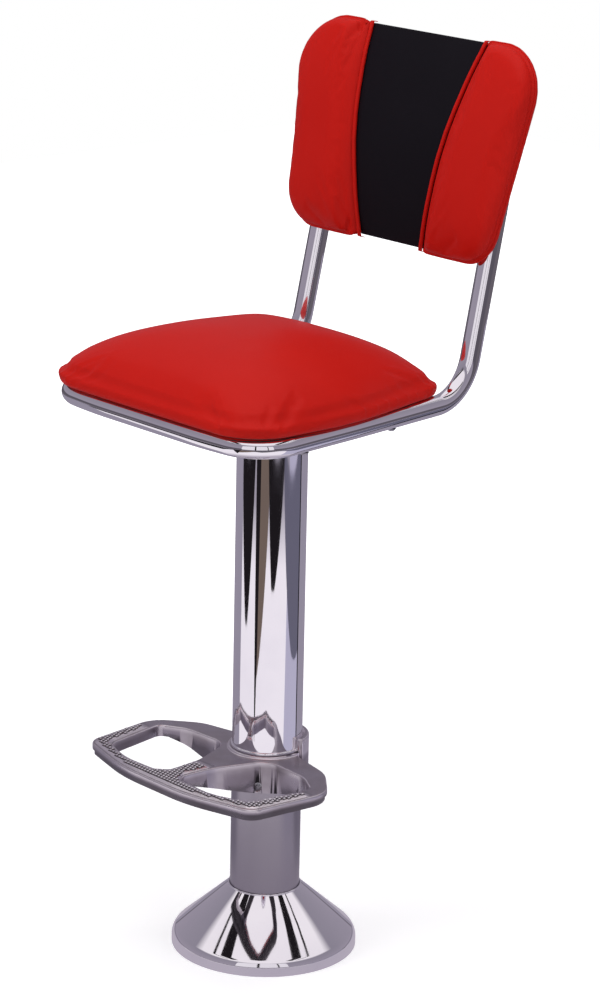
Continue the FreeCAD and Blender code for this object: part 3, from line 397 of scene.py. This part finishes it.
# %% [markdown]
# The sleeves, the base and the ring over the hub are round about the column. Each could be a
# stack of cylinders and cones. A lathe is closer to how they are made: one point is extruded
# along the profile, and the profile is spun once round the axis.

# %% Lathe
TURNS = 192


def arc(centre, radius, start, end, steps=8):
    """Points of a round stretch of a profile, with angles in degrees."""
    angles = [math.radians(start + (end - start) * i / steps) for i in range(steps + 1)]
    return [(centre[0] + radius * math.cos(a), centre[1] + radius * math.sin(a))
            for a in angles]


def turned(profile):
    """A closed profile of (radius, height), extruded point by point and spun."""
    closed = profile + profile[:1]
    bpy.ops.object.select_all(action="DESELECT")
    bpy.ops.mesh.primitive_plane_add(size=0.001, location=(closed[0][0], 0, closed[0][1]))
    piece = bpy.context.object
    open_edit(piece)
    bpy.ops.mesh.merge(type="CENTER")
    for here, there in zip(closed, closed[1:]):
        step = (there[0] - here[0], 0, there[1] - here[1])
        bpy.ops.mesh.extrude_vertices_move(TRANSFORM_OT_translate={"value": step})
    bpy.ops.mesh.select_all(action="SELECT")
    bpy.ops.mesh.spin(steps=TURNS, angle=math.tau, center=(0, 0, 0), axis=(0, 0, 1))
    bpy.ops.mesh.select_all(action="SELECT")
    bpy.ops.mesh.remove_doubles(threshold=0.00002)
    bpy.ops.mesh.normals_make_consistent(inside=False)
    close_edit()
    return piece


def sleeve(node, wall, ease):
    """A tube with its outer edges eased, as long as its CAD node."""
    low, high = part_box(node)
    outer = high.x
    return turned([(outer - wall, low.z), (outer - ease, low.z), (outer, low.z + ease),
                   (outer, high.z - ease), (outer - ease, high.z), (outer - wall, high.z)])


SLEEVE_WALL = 2.0 * MM
finish_piece(sleeve("upper_sleeve", SLEEVE_WALL, 0.3 * MM), "mirror_sleeve", CHROME, "chrome",
             "pedestal", "upper_sleeve")
finish_piece(sleeve("lower_sleeve", SLEEVE_WALL, 0.3 * MM), "satin_sleeve", SATIN,
             "satin_steel", "pedestal", "lower_sleeve")

# %% [markdown]
# The base is a spun bell. It stands on a short upright band, turns over a rounded shoulder
# and runs straight up to the column, where its edge is rolled into a bead. The shoulder is
# what gives the photo its bright line round the foot, so it is a true arc.

# %% Base bell
def base_bell():
    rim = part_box("base_cover")[1].x
    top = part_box("base_cover")[1].z
    wall = 1.6 * MM
    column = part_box("lower_sleeve")[1].x
    cone_foot = (104.4 * MM, 23.3 * MM)
    cone_head = (column + 1.4 * MM, 79.0 * MM)
    slope = math.degrees(math.atan2(cone_head[1] - cone_foot[1], cone_foot[0] - cone_head[0]))
    shoulder = 17.0 * MM
    band = 8.0 * MM
    centre = (rim - shoulder, band)
    bead = 1.2 * MM
    outside = [(rim, 0.0), (rim, band)]
    outside += arc(centre, shoulder, 0.0, 90.0 - slope, 14)[1:]
    outside += arc((cone_head[0], top - bead), bead, -40.0, 180.0, 10)
    inside = [(column + 0.2 * MM, top - 3.0 * MM), (cone_foot[0] - wall, cone_foot[1] - wall),
              (rim - wall, band), (rim - wall, 0.0)]
    return turned(outside + inside)


finish_piece(base_bell(), "base_bell", CHROME, "chrome", "pedestal", "base_cover")


# %% [markdown]
# A thin bright ring closes the gap between the casting and the upper sleeve. It is flat
# against the column and half round outside, so half a circle is nearly all of its profile.

# %% Ring over the hub
def hub_ring():
    low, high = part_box("hub_ring")
    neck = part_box("upper_sleeve")[1].x + 0.1 * MM
    half = (high.z - low.z) / 2
    bead = arc((high.x - half, low.z + half), half, -90.0, 90.0, 12)
    return turned([(neck, low.z)] + bead + [(neck, high.z)])


finish_piece(hub_ring(), "hub_bead", CHROME, "chrome", "pedestal", "hub_ring")

# %% [markdown]
# The footrest casting is right as the CAD has it. Its mesh comes in as loose triangles, so a
# merged copy is shaded smooth and takes its place. The tread is a field of small pyramids. A
# texture could hint at them, but their tips catch the light one by one, so one pyramid is
# made and copied wherever a ray dropped from above lands on the raised tread.

# %% Footrest casting
def merged_copy(node):
    """A copy of a CAD node with its loose triangles joined up."""
    piece = bpy.data.objects.new(node + "_copy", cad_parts[node].data.copy())
    bpy.context.scene.collection.objects.link(piece)
    open_edit(piece)
    bpy.ops.mesh.select_all(action="SELECT")
    bpy.ops.mesh.remove_doubles(threshold=0.00001)
    close_edit()
    return piece


casting = finish_piece(merged_copy("footrest"), "footrest_cast", CAST, "cast_aluminium",
                       "pedestal", "footrest", smooth=40.0)

# %% Tread pyramids
PITCH_TREAD = 5.4 * MM
DROP_FROM = 0.30


def tread_places():
    """Grid places whose four corners all land on the raised tread."""
    low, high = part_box("footrest")
    solid = BVHTree.FromObject(casting, bpy.context.evaluated_depsgraph_get())
    half = PITCH_TREAD * 0.5
    places = []
    for row in range(int((high.y - low.y) / PITCH_TREAD) + 1):
        for column in range(int((high.x - low.x) / PITCH_TREAD) + 1):
            shift = half if row % 2 else 0.0
            x = low.x + column * PITCH_TREAD + shift
            y = low.y + row * PITCH_TREAD
            corners = [(x - half, y - half), (x + half, y - half), (x - half, y + half),
                       (x + half, y + half)]
            hits = [solid.ray_cast(Vector((a, b, DROP_FROM)), Vector((0, 0, -1)))[0]
                    for a, b in corners]
            if all(hit and hit.z > TREAD_TOP - 0.3 * MM for hit in hits):
                places.append((x, y))
    return places


def tread_field():
    bpy.ops.object.select_all(action="DESELECT")
    bpy.ops.mesh.primitive_cone_add(vertices=4, radius1=PITCH_TREAD * 0.68,
                                    radius2=PITCH_TREAD * 0.13, depth=TREAD_HIGH)
    point = bpy.context.object
    open_edit(point)
    bpy.ops.mesh.select_all(action="SELECT")
    bpy.ops.transform.rotate(value=math.pi / 4, orient_axis="Z", center_override=(0, 0, 0))
    close_edit()
    settle(point)
    copies = []
    for x, y in tread_places():
        copy = bpy.data.objects.new("tread_point", point.data.copy())
        copy.data.transform(Matrix.Translation((x, y, TREAD_TOP + TREAD_HIGH / 2 - 0.1 * MM)))
        bpy.context.scene.collection.objects.link(copy)
        copies.append(copy)
    bpy.data.objects.remove(point)
    pick(copies[0])
    for copy in copies:
        copy.select_set(True)
    bpy.ops.object.join()
    print(len(copies), "pyramids")
    return bpy.context.object


finish_piece(tread_field(), "tread_pyramids", TREAD, "cast_aluminium", "pedestal", smooth=5.0)

# %% [markdown]
# The seat frame is one steel tube, bent flat round the seat and then up into the two back
# posts. A curve with a round bevel would do. Bending is closer to the real thing: a ring is
# pushed along each straight run and spun about the centre of each bend.

# %% Bent seat frame
TUBE = 12.7 * MM
TUBE_WALL = 1.6 * MM
RAIL_Z = 724.1 * MM
POST_FOOT = Vector((153.8 * MM, 174.8 * MM, RAIL_Z))
POST_LEAN = Vector((-0.0089, 0.2186, 1.0))
POST_RISE = 345.0 * MM
POST_BEND = 63.5 * MM
CORNER_BEND = 51.8 * MM
GENTLE_BEND = 600.0 * MM


def frame_corners():
    half = [Vector((95.8 * MM, -198.0 * MM, RAIL_Z)), Vector((191.6 * MM, -189.4 * MM, RAIL_Z)),
            Vector((177.3 * MM, -31.9 * MM, RAIL_Z)), POST_FOOT,
            POST_FOOT + POST_LEAN * POST_RISE]
    other = [Vector((-corner.x, corner.y, corner.z)) for corner in half]
    return list(reversed(half)) + other


def bent_tube(corners, bends, radius, around=48):
    """Rings pushed along the runs and spun round the bends of a line of corners."""
    heading = (corners[1] - corners[0]).normalized()
    bpy.ops.object.select_all(action="DESELECT")
    bpy.ops.mesh.primitive_circle_add(vertices=around, radius=radius, location=corners[0],
                                      rotation=heading.to_track_quat("Z", "Y").to_euler())
    piece = bpy.context.object
    settle(piece)
    open_edit(piece)
    bpy.ops.mesh.select_all(action="SELECT")
    here = corners[0]
    for before, corner, after, bend in zip(corners, corners[1:], corners[2:], bends):
        back = (before - corner).normalized()
        ahead = (after - corner).normalized()
        half = back.angle(ahead) / 2
        reach = bend / math.tan(half)
        start = corner + back * reach
        bpy.ops.mesh.extrude_edges_move(TRANSFORM_OT_translate={"value": start - here})
        centre = corner + (back + ahead).normalized() * (bend / math.sin(half))
        axis = back.cross(ahead).normalized()
        angle = math.pi - 2 * half
        steps = max(3, round(angle * bend / (3.0 * MM)))
        bpy.ops.mesh.spin(steps=min(steps, 40), angle=angle, center=centre, axis=axis)
        here = corner + ahead * reach
    bpy.ops.mesh.extrude_edges_move(TRANSFORM_OT_translate={"value": corners[-1] - here})
    bpy.ops.mesh.select_all(action="SELECT")
    bpy.ops.mesh.remove_doubles(threshold=0.00001)
    bpy.ops.mesh.normals_make_consistent(inside=False)
    close_edit()
    return piece


half_bends = [POST_BEND, GENTLE_BEND, CORNER_BEND, GENTLE_BEND]
tube = bent_tube(frame_corners(), half_bends + half_bends[::-1], TUBE)
apply_modifier(tube, "SOLIDIFY", thickness=TUBE_WALL, offset=-1.0)
finish_piece(tube, "bent_frame", CHROME, "chrome", "seat", "seat_frame")

# %% [markdown]
# The cushions are foam under stretched vinyl. A solid from the CAD is the right size but has
# the hard rings it was lofted through. A cloth simulation with air pressure inside rounds it:
# the mesh is rebuilt as an even net of small faces, its flat underside is held, and the rest
# swells. How far a point may move is capped, so the cushion keeps near its CAD outline.

# %% Padding
SOFT_ANGLE = 80.0
PRESSURE = 3.0


def joined(first, second):
    pick(first)
    second.select_set(True)
    bpy.ops.object.join()
    return first


def fattened(node, grow, lift):
    """A copy of a board, slightly larger, that fills the room left for it in a cushion."""
    piece = merged_copy(node)
    open_edit(piece)
    bpy.ops.mesh.select_all(action="SELECT")
    bpy.ops.transform.shrink_fatten(value=grow)
    bpy.ops.transform.translate(value=lift)
    close_edit()
    return piece


def even_net(piece, voxel, passes, regain):
    """Rebuilds the piece as small even faces, rounds it off and grows it back to size."""
    apply_modifier(piece, "REMESH", mode="VOXEL", voxel_size=voxel, adaptivity=0.0)
    apply_modifier(piece, "SMOOTH", factor=0.5, iterations=passes)
    open_edit(piece)
    bpy.ops.mesh.select_all(action="SELECT")
    bpy.ops.transform.shrink_fatten(value=regain)
    close_edit()


def swell(piece, held, pressure, cap, frames=20):
    """Blows the piece up like padding. held says which points stay where they are."""
    before = [vertex.co.copy() for vertex in piece.data.vertices]
    group = piece.vertex_groups.new(name="held")
    group.add([v.index for v in piece.data.vertices if held(v.co)], 1.0, "REPLACE")
    cloth = piece.modifiers.new("Cloth", "CLOTH")
    cloth.settings.quality = 4
    cloth.settings.use_pressure = True
    cloth.settings.uniform_pressure_force = pressure
    cloth.settings.vertex_group_mass = "held"
    cloth.settings.effector_weights.gravity = 0.0
    cloth.point_cache.frame_start = 1
    cloth.point_cache.frame_end = frames
    scene = bpy.context.scene
    for step in range(1, frames + 1):
        scene.frame_set(step)
    pick(piece)
    bpy.ops.object.modifier_apply(modifier=cloth.name)
    scene.frame_set(1)
    for vertex, start in zip(piece.data.vertices, before):
        moved = vertex.co - start
        if moved.length > cap:
            vertex.co = start + moved * (cap / moved.length)
    piece.vertex_groups.clear()


def pressed_line(piece, depth_at):
    """Presses a soft line into a cushion. depth_at gives how deep for each place."""
    normals = [vertex.normal.copy() for vertex in piece.data.vertices]
    for vertex, normal in zip(piece.data.vertices, normals):
        vertex.co = vertex.co - normal * depth_at(vertex.co)


def hollow(distance, width, depth):
    """How deep a round bottomed groove is at a distance from its middle."""
    share = min(abs(distance) / width, 1.0)
    return depth * (1.0 - share * share) ** 2


# %% [markdown]
# The seat's crown is one smooth pillow, while its lower edge is tight over the board. So only
# what lies above the edge is smoothed a second time and much longer. A soft line is pressed
# in above the edge, where the vinyl turns under.

# %% Seat cushion
SEAT_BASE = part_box("seat_cushion")[0].z
SEAT_HELD = 3.0 * MM
CROWN_RISE = 16.0 * MM
ROLL_RISE = 21.0 * MM
ROLL_WIDTH = 8.0 * MM
ROLL_DEPTH = 2.0 * MM
SEAT_BOARD_GROW = 1.0 * MM
SEAT_NET = 4.5 * MM
SEAT_REGAIN = 0.8 * MM
SEAT_SWELL = 4.0 * MM
CROWN_PASSES = 90


def seat_underside(place):
    return place.z < SEAT_BASE + SEAT_HELD


def above_roll(place):
    return hollow(place.z - SEAT_BASE - ROLL_RISE, ROLL_WIDTH, ROLL_DEPTH)


seat = joined(merged_copy("seat_cushion"),
              fattened("seat_board", SEAT_BOARD_GROW, (0, 0, SEAT_BOARD_GROW)))
even_net(seat, SEAT_NET, 8, SEAT_REGAIN)
crown = seat.vertex_groups.new(name="crown")
crown.add([v.index for v in seat.data.vertices if v.co.z > SEAT_BASE + CROWN_RISE], 1.0,
          "REPLACE")
apply_modifier(seat, "SMOOTH", factor=0.5, iterations=CROWN_PASSES, vertex_group="crown")
seat.vertex_groups.clear()
swell(seat, seat_underside, PRESSURE, SEAT_SWELL)
apply_modifier(seat, "SUBSURF", levels=1, render_levels=1)
pressed_line(seat, above_roll)
finish_piece(seat, "seat_pad", RED, "red_vinyl", "seat", "seat_cushion", smooth=SOFT_ANGLE)

# %% [markdown]
# The back has three panels: two red pads with a black insert between them, sewn along a V.
# Each is padded by itself, and what holds it is the board behind and the seams beside it.
# Everything here is measured along the posts and out from them.

# %% The back's own directions
lean = math.atan(POST_LEAN.y)
BACK_FOOT = Vector((0, POST_FOOT.y, RAIL_Z))
UP_POST = Vector((0, math.sin(lean), math.cos(lean)))
OUT = Vector((0, -math.cos(lean), math.sin(lean)))
SEAM_LOW = (165.0 * MM, 58.0 * MM)
SEAM_HIGH = (434.0 * MM, 105.0 * MM)
PAD_REAR = 16.0 * MM
SEAM_GAP = 1.5 * MM
BOARD_GROW = 0.8 * MM


def back_place(across, rise, out):
    return BACK_FOOT + Vector((across, 0, 0)) + UP_POST * rise + OUT * out


def back_measure(place):
    """Across, up the posts and out from them, of a place in the room."""
    offset = place - BACK_FOOT
    return offset.x, offset.dot(UP_POST), offset.dot(OUT)


def seam(rise):
    share = (rise - SEAM_LOW[0]) / (SEAM_HIGH[0] - SEAM_LOW[0])
    return SEAM_LOW[1] + (SEAM_HIGH[1] - SEAM_LOW[1]) * share


# %% Back pads and insert
BOARD_HELD = 3.0 * MM
SEAM_HELD = 4.0 * MM
GROOVE_OUT = 29.0 * MM
GROOVE_WIDTH = 4.0 * MM
GROOVE_DEPTH = 2.2 * MM
GROOVE_END = 8.0 * MM
PAD_NET = 3.2 * MM
PAD_REGAIN = 0.9 * MM
PAD_SWELL = 3.0 * MM


def held_at_board(place):
    across, rise, out = back_measure(place)
    return out < PAD_REAR + BOARD_HELD or abs(abs(across) - seam(rise)) < SEAM_HELD


def grown_board():
    return fattened("back_board", BOARD_GROW, OUT * BOARD_GROW)


def cut_at_seam(piece, gap, keep_outside):
    """Cuts a piece at a distance outside the left seam and keeps one part of it."""
    climb = Vector((SEAM_HIGH[1] - SEAM_LOW[1], 0, 0)) + UP_POST * (SEAM_HIGH[0] - SEAM_LOW[0])
    away = climb.cross(OUT).normalized()
    if away.x < 0:
        away = -away
    open_edit(piece)
    bpy.ops.mesh.select_all(action="SELECT")
    bpy.ops.mesh.bisect(plane_co=back_place(SEAM_LOW[1] + gap, SEAM_LOW[0], 0), plane_no=away,
                        use_fill=True, clear_inner=keep_outside, clear_outer=not keep_outside)
    close_edit()
    return piece


def mirrored_piece(piece):
    """The same piece on the other side."""
    pick(piece)
    bpy.ops.transform.mirror(constraint_axis=(True, False, False),
                             center_override=(0, 0, 0))
    settle(piece)
    open_edit(piece)
    bpy.ops.mesh.select_all(action="SELECT")
    bpy.ops.mesh.normals_make_consistent(inside=False)
    close_edit()
    return piece


def beside_welt(place):
    """How deep the pads are drawn in beside the seam round their sides."""
    across, rise, out = back_measure(place)
    if abs(across) < seam(rise) + GROOVE_END:
        return 0.0
    return hollow(out - GROOVE_OUT, GROOVE_WIDTH, GROOVE_DEPTH)


def padded_panel(node, board, name, material, slot, passes):
    panel = joined(merged_copy(node), board)
    even_net(panel, PAD_NET, passes, PAD_REGAIN)
    swell(panel, held_at_board, PRESSURE, PAD_SWELL)
    apply_modifier(panel, "SUBSURF", levels=1, render_levels=1)
    if material is RED:
        pressed_line(panel, beside_welt)
    finish_piece(panel, name, material, slot, "seat", node, smooth=SOFT_ANGLE)
    return panel


left_board = cut_at_seam(grown_board(), SEAM_GAP, True)
left_pad = padded_panel("back_pad_left", left_board, "back_pad_red_left", RED, "red_vinyl", 4)
right_board = mirrored_piece(cut_at_seam(grown_board(), SEAM_GAP, True))
right_pad = padded_panel("back_pad_right", right_board, "back_pad_red_right", RED, "red_vinyl",
                         4)
insert_board = mirrored_piece(cut_at_seam(grown_board(), -SEAM_GAP, False))
cut_at_seam(insert_board, -SEAM_GAP, False)
padded_panel("back_insert", insert_board, "back_insert_black", BLACK, "black_vinyl", 3)

# %% [markdown]
# Each pad's front is sewn to a strip of vinyl that goes round its sides, and the seam stands
# up as a thin welt. It could be drawn as a bump. A slice through the finished pad gives its
# exact line, which is kept round the outside and given a thickness.

# %% Side welts
WELT_OUT = 24.0 * MM
WELT = 1.6 * MM


def side_welt(pad, name):
    piece = bpy.data.objects.new(name, pad.data.copy())
    bpy.context.scene.collection.objects.link(piece)
    open_edit(piece)
    bpy.ops.mesh.select_all(action="SELECT")
    bpy.ops.mesh.bisect(plane_co=back_place(0, 0, WELT_OUT), plane_no=OUT, clear_inner=True,
                        clear_outer=True)
    bpy.ops.mesh.select_all(action="DESELECT")
    close_edit()
    for vertex in piece.data.vertices:
        across, rise, out = back_measure(vertex.co)
        vertex.select = abs(across) < seam(rise) + 5.0 * MM
    open_edit(piece)
    bpy.ops.mesh.delete(type="VERT")
    close_edit()
    bpy.ops.object.convert(target="CURVE")
    piece.data.bevel_depth = WELT
    piece.data.bevel_resolution = 2
    piece.data.use_fill_caps = True
    bpy.ops.object.convert(target="MESH")
    finish_piece(piece, name, RED, "red_vinyl", "seat", smooth=SOFT_ANGLE)


side_welt(left_pad, "side_welt_left")
side_welt(right_pad, "side_welt_right")

# %% [markdown]
# A flat panel of the same vinyl closes the rear, and a thin piping covers each V seam. Both
# keep the shape they have in the CAD. The padding has rounded the ends of the panels, so the
# piping's ends are drawn in until they lie on it again.

# %% Rear panel and piping
finish_piece(merged_copy("back_rear_panel"), "back_cover_panel", RED, "red_vinyl", "seat",
             "back_rear_panel", smooth=12.0)
CORD_LOW = 166.0 * MM
CORD_HIGH = 433.0 * MM
DRAWN_IN = 0.8


def tucked_cord(node):
    """The piping, with its ends drawn in to the pads where they turn over the edges."""
    cord = merged_copy(node)
    for vertex in cord.data.vertices:
        across, rise, out = back_measure(vertex.co)
        beyond = max(rise - CORD_HIGH, 0.0) + min(rise - CORD_LOW, 0.0)
        vertex.co = vertex.co - UP_POST * (beyond * DRAWN_IN)
    return cord


for node in ("left_piping", "right_piping"):
    finish_piece(tucked_cord(node), node + "_cord", RED, "red_vinyl", "seat", node,
                 smooth=SOFT_ANGLE)

# %% [markdown]
# The stool was shot on white, and its chrome mirrors a studio that the picture doesn't show.
# A plain white surround gives blank chrome. So what a reflection sees is set apart from what
# the camera sees: pale paper on the floor, grey walls, a bright ceiling, and further on some
# dark and pale cards. They bring the chrome's bands near the photo's, from that side only.
# From other sides the bands mean nothing, and a plain room would give different ones.

# %% Floor
FLOOR_SIZE = 9.0
FULL_REACH = 4.0


def camera_white(finish, in_reflections, backdrop, surface, paths):
    """Gives reflections their own colour, and lifts the surface to white for the camera."""
    def glow(colour):
        return finish.node("ShaderNodeEmission", {}, {"Color": colour})

    lifted = finish.node("ShaderNodeAddShader", {}, {0: surface, 1: glow(backdrop)})
    mirrored = finish.node("ShaderNodeMixShader", {},
                           {0: paths["Is Glossy Ray"], 1: surface, 2: glow(in_reflections)})
    return finish.node("ShaderNodeMixShader", {},
                       {0: paths["Is Camera Ray"], 1: mirrored, 2: lifted})


def floor():
    """In reflections the floor's colour changes with distance: a painted shadow near the column.
    """
    bpy.ops.object.select_all(action="DESELECT")
    bpy.ops.mesh.primitive_plane_add(size=FLOOR_SIZE)
    ground = bpy.context.object
    ground.name = "floor"
    finish = Finish("floor_white")
    finish.done(Base_Color=(0.86, 0.86, 0.87, 1), Roughness=0.9)
    paths = {name: finish.node("ShaderNodeLightPath", {}, {}, name)
             for name in ("Is Camera Ray", "Is Glossy Ray")}
    reach = finish.node("ShaderNodeVectorMath", {"operation": "LENGTH"},
                        {0: finish.place()}, "Value") * (1.0 / FULL_REACH)
    # Near the column the floor is darker in reflections: a painted shadow of the stool.
    out_of_painted_shadow = finish.sharpen(reach, 0.08, 0.17)
    far = finish.sharpen(reach, 0.42, 0.52)
    near = finish.blend(out_of_painted_shadow, (0.46, 0.42, 0.49), (0.88, 0.84, 0.89))
    paper_with_painted_shadow = finish.blend(far, near, (0.34, 0.315, 0.37))
    paper_with_painted_shadow = finish.blend(finish.sharpen(reach, 0.66, 0.72), paper_with_painted_shadow, (0.13, 0.115, 0.135))
    backdrop = finish.blend(finish.sharpen(reach, 0.16, 0.42), (0.45, 0.45, 0.45), (1, 1, 1))
    surface = Signal(finish, finish.shader.outputs[0])
    white = camera_white(finish, paper_with_painted_shadow, backdrop, surface, paths)
    finish.tree.links.new(white.output, finish.exit.inputs[0])
    ground.data.materials.append(finish.material)


floor()
print("floor made")

# %% [markdown]
# The cards lie on the floor, stand on the camera's side and hang overhead. Only reflections
# see them. A bearing is counted from the direction of the camera, with right as positive.

# %% Cards
VIEW = Vector((math.sin(AZIMUTH), -math.cos(AZIMUTH), 0))
VIEW_RIGHT = Vector((math.cos(AZIMUTH), math.sin(AZIMUTH), 0))
PLANE_ROUND = (0, 1, 3, 2)


def flag(name, corners, shade):
    """A flat card that only reflections see, from its four corners."""
    bpy.ops.object.select_all(action="DESELECT")
    bpy.ops.mesh.primitive_plane_add(size=1.0)
    card = bpy.context.object
    card.name = name
    for index, corner in zip(PLANE_ROUND, corners):
        card.data.vertices[index].co = corner
    finish = Finish(name)
    glow = finish.node("ShaderNodeEmission", {}, {"Color": shade + (1,)})
    finish.tree.links.new(glow.output, finish.exit.inputs[0])
    card.data.materials.append(finish.material)
    card.visible_camera = False
    card.visible_diffuse = False
    card.visible_shadow = False
    card.visible_transmission = False


def on_floor(bearing, reach, layer):
    """A place on the floor, by its bearing from the camera's side and its distance."""
    angle = math.radians(bearing)
    return ((VIEW * math.cos(angle) + VIEW_RIGHT * math.sin(angle)) * reach
            + Vector((0, 0, layer * MM)))


def floor_flag(name, near, far, shade, layer=1):
    """A flag on the floor between two arcs given as (left bearing, right bearing, distance)."""
    flag(name, [on_floor(near[0], near[2], layer), on_floor(near[1], near[2], layer),
                on_floor(far[1], far[2], layer), on_floor(far[0], far[2], layer)], shade)


BLACK_CARD = (0.012, 0.010, 0.012)
BROWN_CARD = (0.16, 0.12, 0.10)
GREY_CARD = (0.30, 0.275, 0.34)
floor_flag("brown_flag", (-41, -38, 1.1), (-42, 0, 2.75), BROWN_CARD)
floor_flag("front_flag", (4, 14, 1.55), (-14, 47, 2.75), BLACK_CARD, 2)
floor_flag("thin_flag", (-43, -42, 0.8), (-50, -34, 2.75), BLACK_CARD, 3)
floor_flag("left_flag", (-84, -76, 1.35), (-110, -50, 2.75), BLACK_CARD)
floor_flag("right_card", (50, 104, 0.55), (58, 104, 2.8), (0.46, 0.44, 0.57))
floor_flag("far_right_card", (76, 104, 1.2), (34, 104, 2.75), (0.13, 0.125, 0.175), 2)
floor_flag("right_flag", (104, 109, 0.4), (104, 109, 3.2), BLACK_CARD)
floor_flag("rear_right_card", (109, 144, 0.3), (109, 144, 3.2), GREY_CARD)
floor_flag("rear_card", (144, 180, 0.3), (144, 180, 3.2), GREY_CARD)
floor_flag("rear_left_card", (-180, -140, 0.3), (-180, -140, 3.2), GREY_CARD)
floor_flag("left_card", (-140, -103, 0.3), (-140, -103, 3.2), GREY_CARD)


CARD_LOW = 0.35
CARD_HIGH = 2.7
CARD_AWAY = 3.4
GAP_AWAY = 3.38


def standing_flag(name, left, right, away, shade):
    """An upright card between the camera's side and the stool."""
    def corner(aside, rise):
        return VIEW_RIGHT * aside + VIEW * away + Vector((0, 0, rise))

    flag(name, [corner(left, CARD_LOW), corner(right, CARD_LOW), corner(right, CARD_HIGH),
                corner(left, CARD_HIGH)], shade)


standing_flag("front_card", -2.2, 2.0, CARD_AWAY, (0.80, 0.77, 0.81))
standing_flag("front_gap", -0.42, -0.24, GAP_AWAY, BLACK_CARD)
standing_flag("front_gap_right", 1.10, 1.22, GAP_AWAY, BLACK_CARD)
CEILING = 2.5
CEILING_REACH = 1.6


def ceiling_flag(name, left, right):
    """A long flag overhead, running away from the camera."""
    def corner(aside, along):
        return VIEW_RIGHT * aside + VIEW * along + Vector((0, 0, CEILING))

    flag(name, [corner(left, -CEILING_REACH), corner(right, -CEILING_REACH),
                corner(right, CEILING_REACH), corner(left, CEILING_REACH)], BLACK_CARD)


ceiling_flag("box_gap_right", 1.16, 1.56)
ceiling_flag("box_gap_right_thin", 1.82, 1.92)
ceiling_flag("box_gap_left", -1.75, -1.28)
ceiling_flag("box_gap_left_thin", -2.12, -2.0)
print("cards made")

# %% [markdown]
# Three soft lamps light the vinyl. They are hidden from reflections, where they would show as
# hard squares. The world gives an even light, white to the camera, and walls to reflections.

# %% Lights and walls
def light(name, place, target, width, height, power):
    bpy.ops.object.select_all(action="DESELECT")
    bpy.ops.object.light_add(type="AREA", location=place)
    lamp = bpy.context.object
    lamp.name = name
    lamp.data.shape = "RECTANGLE"
    lamp.data.size = width
    lamp.data.size_y = height
    lamp.data.energy = power
    lamp.visible_glossy = False
    aim = Vector(target) - Vector(place)
    lamp.rotation_euler = aim.to_track_quat("-Z", "Y").to_euler()


light("overhead", (0.2, -0.2, 3.0), (0, 0, 0.6), 2.4, 2.4, 31)
light("key", (-1.2, -3.0, 2.2), (0, 0, 0.8), 1.4, 1.8, 30)
light("fill", (3.4, 0.4, 1.8), (0, 0, 0.8), 1.2, 1.8, 14)


def studio():
    world = bpy.data.worlds.new("studio")
    bpy.context.scene.world = world
    world.use_nodes = True
    tree = world.node_tree
    tree.nodes.clear()
    link = tree.links.new
    path = tree.nodes.new("ShaderNodeLightPath")
    direction = tree.nodes.new("ShaderNodeTexCoord")
    height = tree.nodes.new("ShaderNodeSeparateXYZ")
    link(direction.outputs["Generated"], height.inputs[0])
    walls = tree.nodes.new("ShaderNodeValToRGB")
    stops = ((0.0, (0.10, 0.09, 0.11)), (0.04, (0.32, 0.29, 0.35)),
             (0.60, (0.27, 0.25, 0.30)), (0.68, (0.88, 0.84, 0.87)))
    while len(walls.color_ramp.elements) < len(stops):
        walls.color_ramp.elements.new(0.5)
    for element, (place, colour) in zip(walls.color_ramp.elements, stops):
        element.position = place
        element.color = colour + (1,)
    link(height.outputs["Z"], walls.inputs[0])

    def background(colour):
        node = tree.nodes.new("ShaderNodeBackground")
        if isinstance(colour, tuple):
            node.inputs[0].default_value = colour + (1,)
        else:
            link(colour, node.inputs[0])
        return node.outputs[0]

    def choose(question, no, yes):
        mix = tree.nodes.new("ShaderNodeMixShader")
        link(path.outputs[question], mix.inputs[0])
        link(no, mix.inputs[1])
        link(yes, mix.inputs[2])
        return mix.outputs[0]

    soft = choose("Is Glossy Ray", background((0.44, 0.43, 0.45)),
                  background(walls.outputs[0]))
    seen = choose("Is Camera Ray", soft, background((1.0, 1.0, 1.0)))
    world_exit = tree.nodes.new("ShaderNodeOutputWorld")
    link(seen, world_exit.inputs[0])


studio()
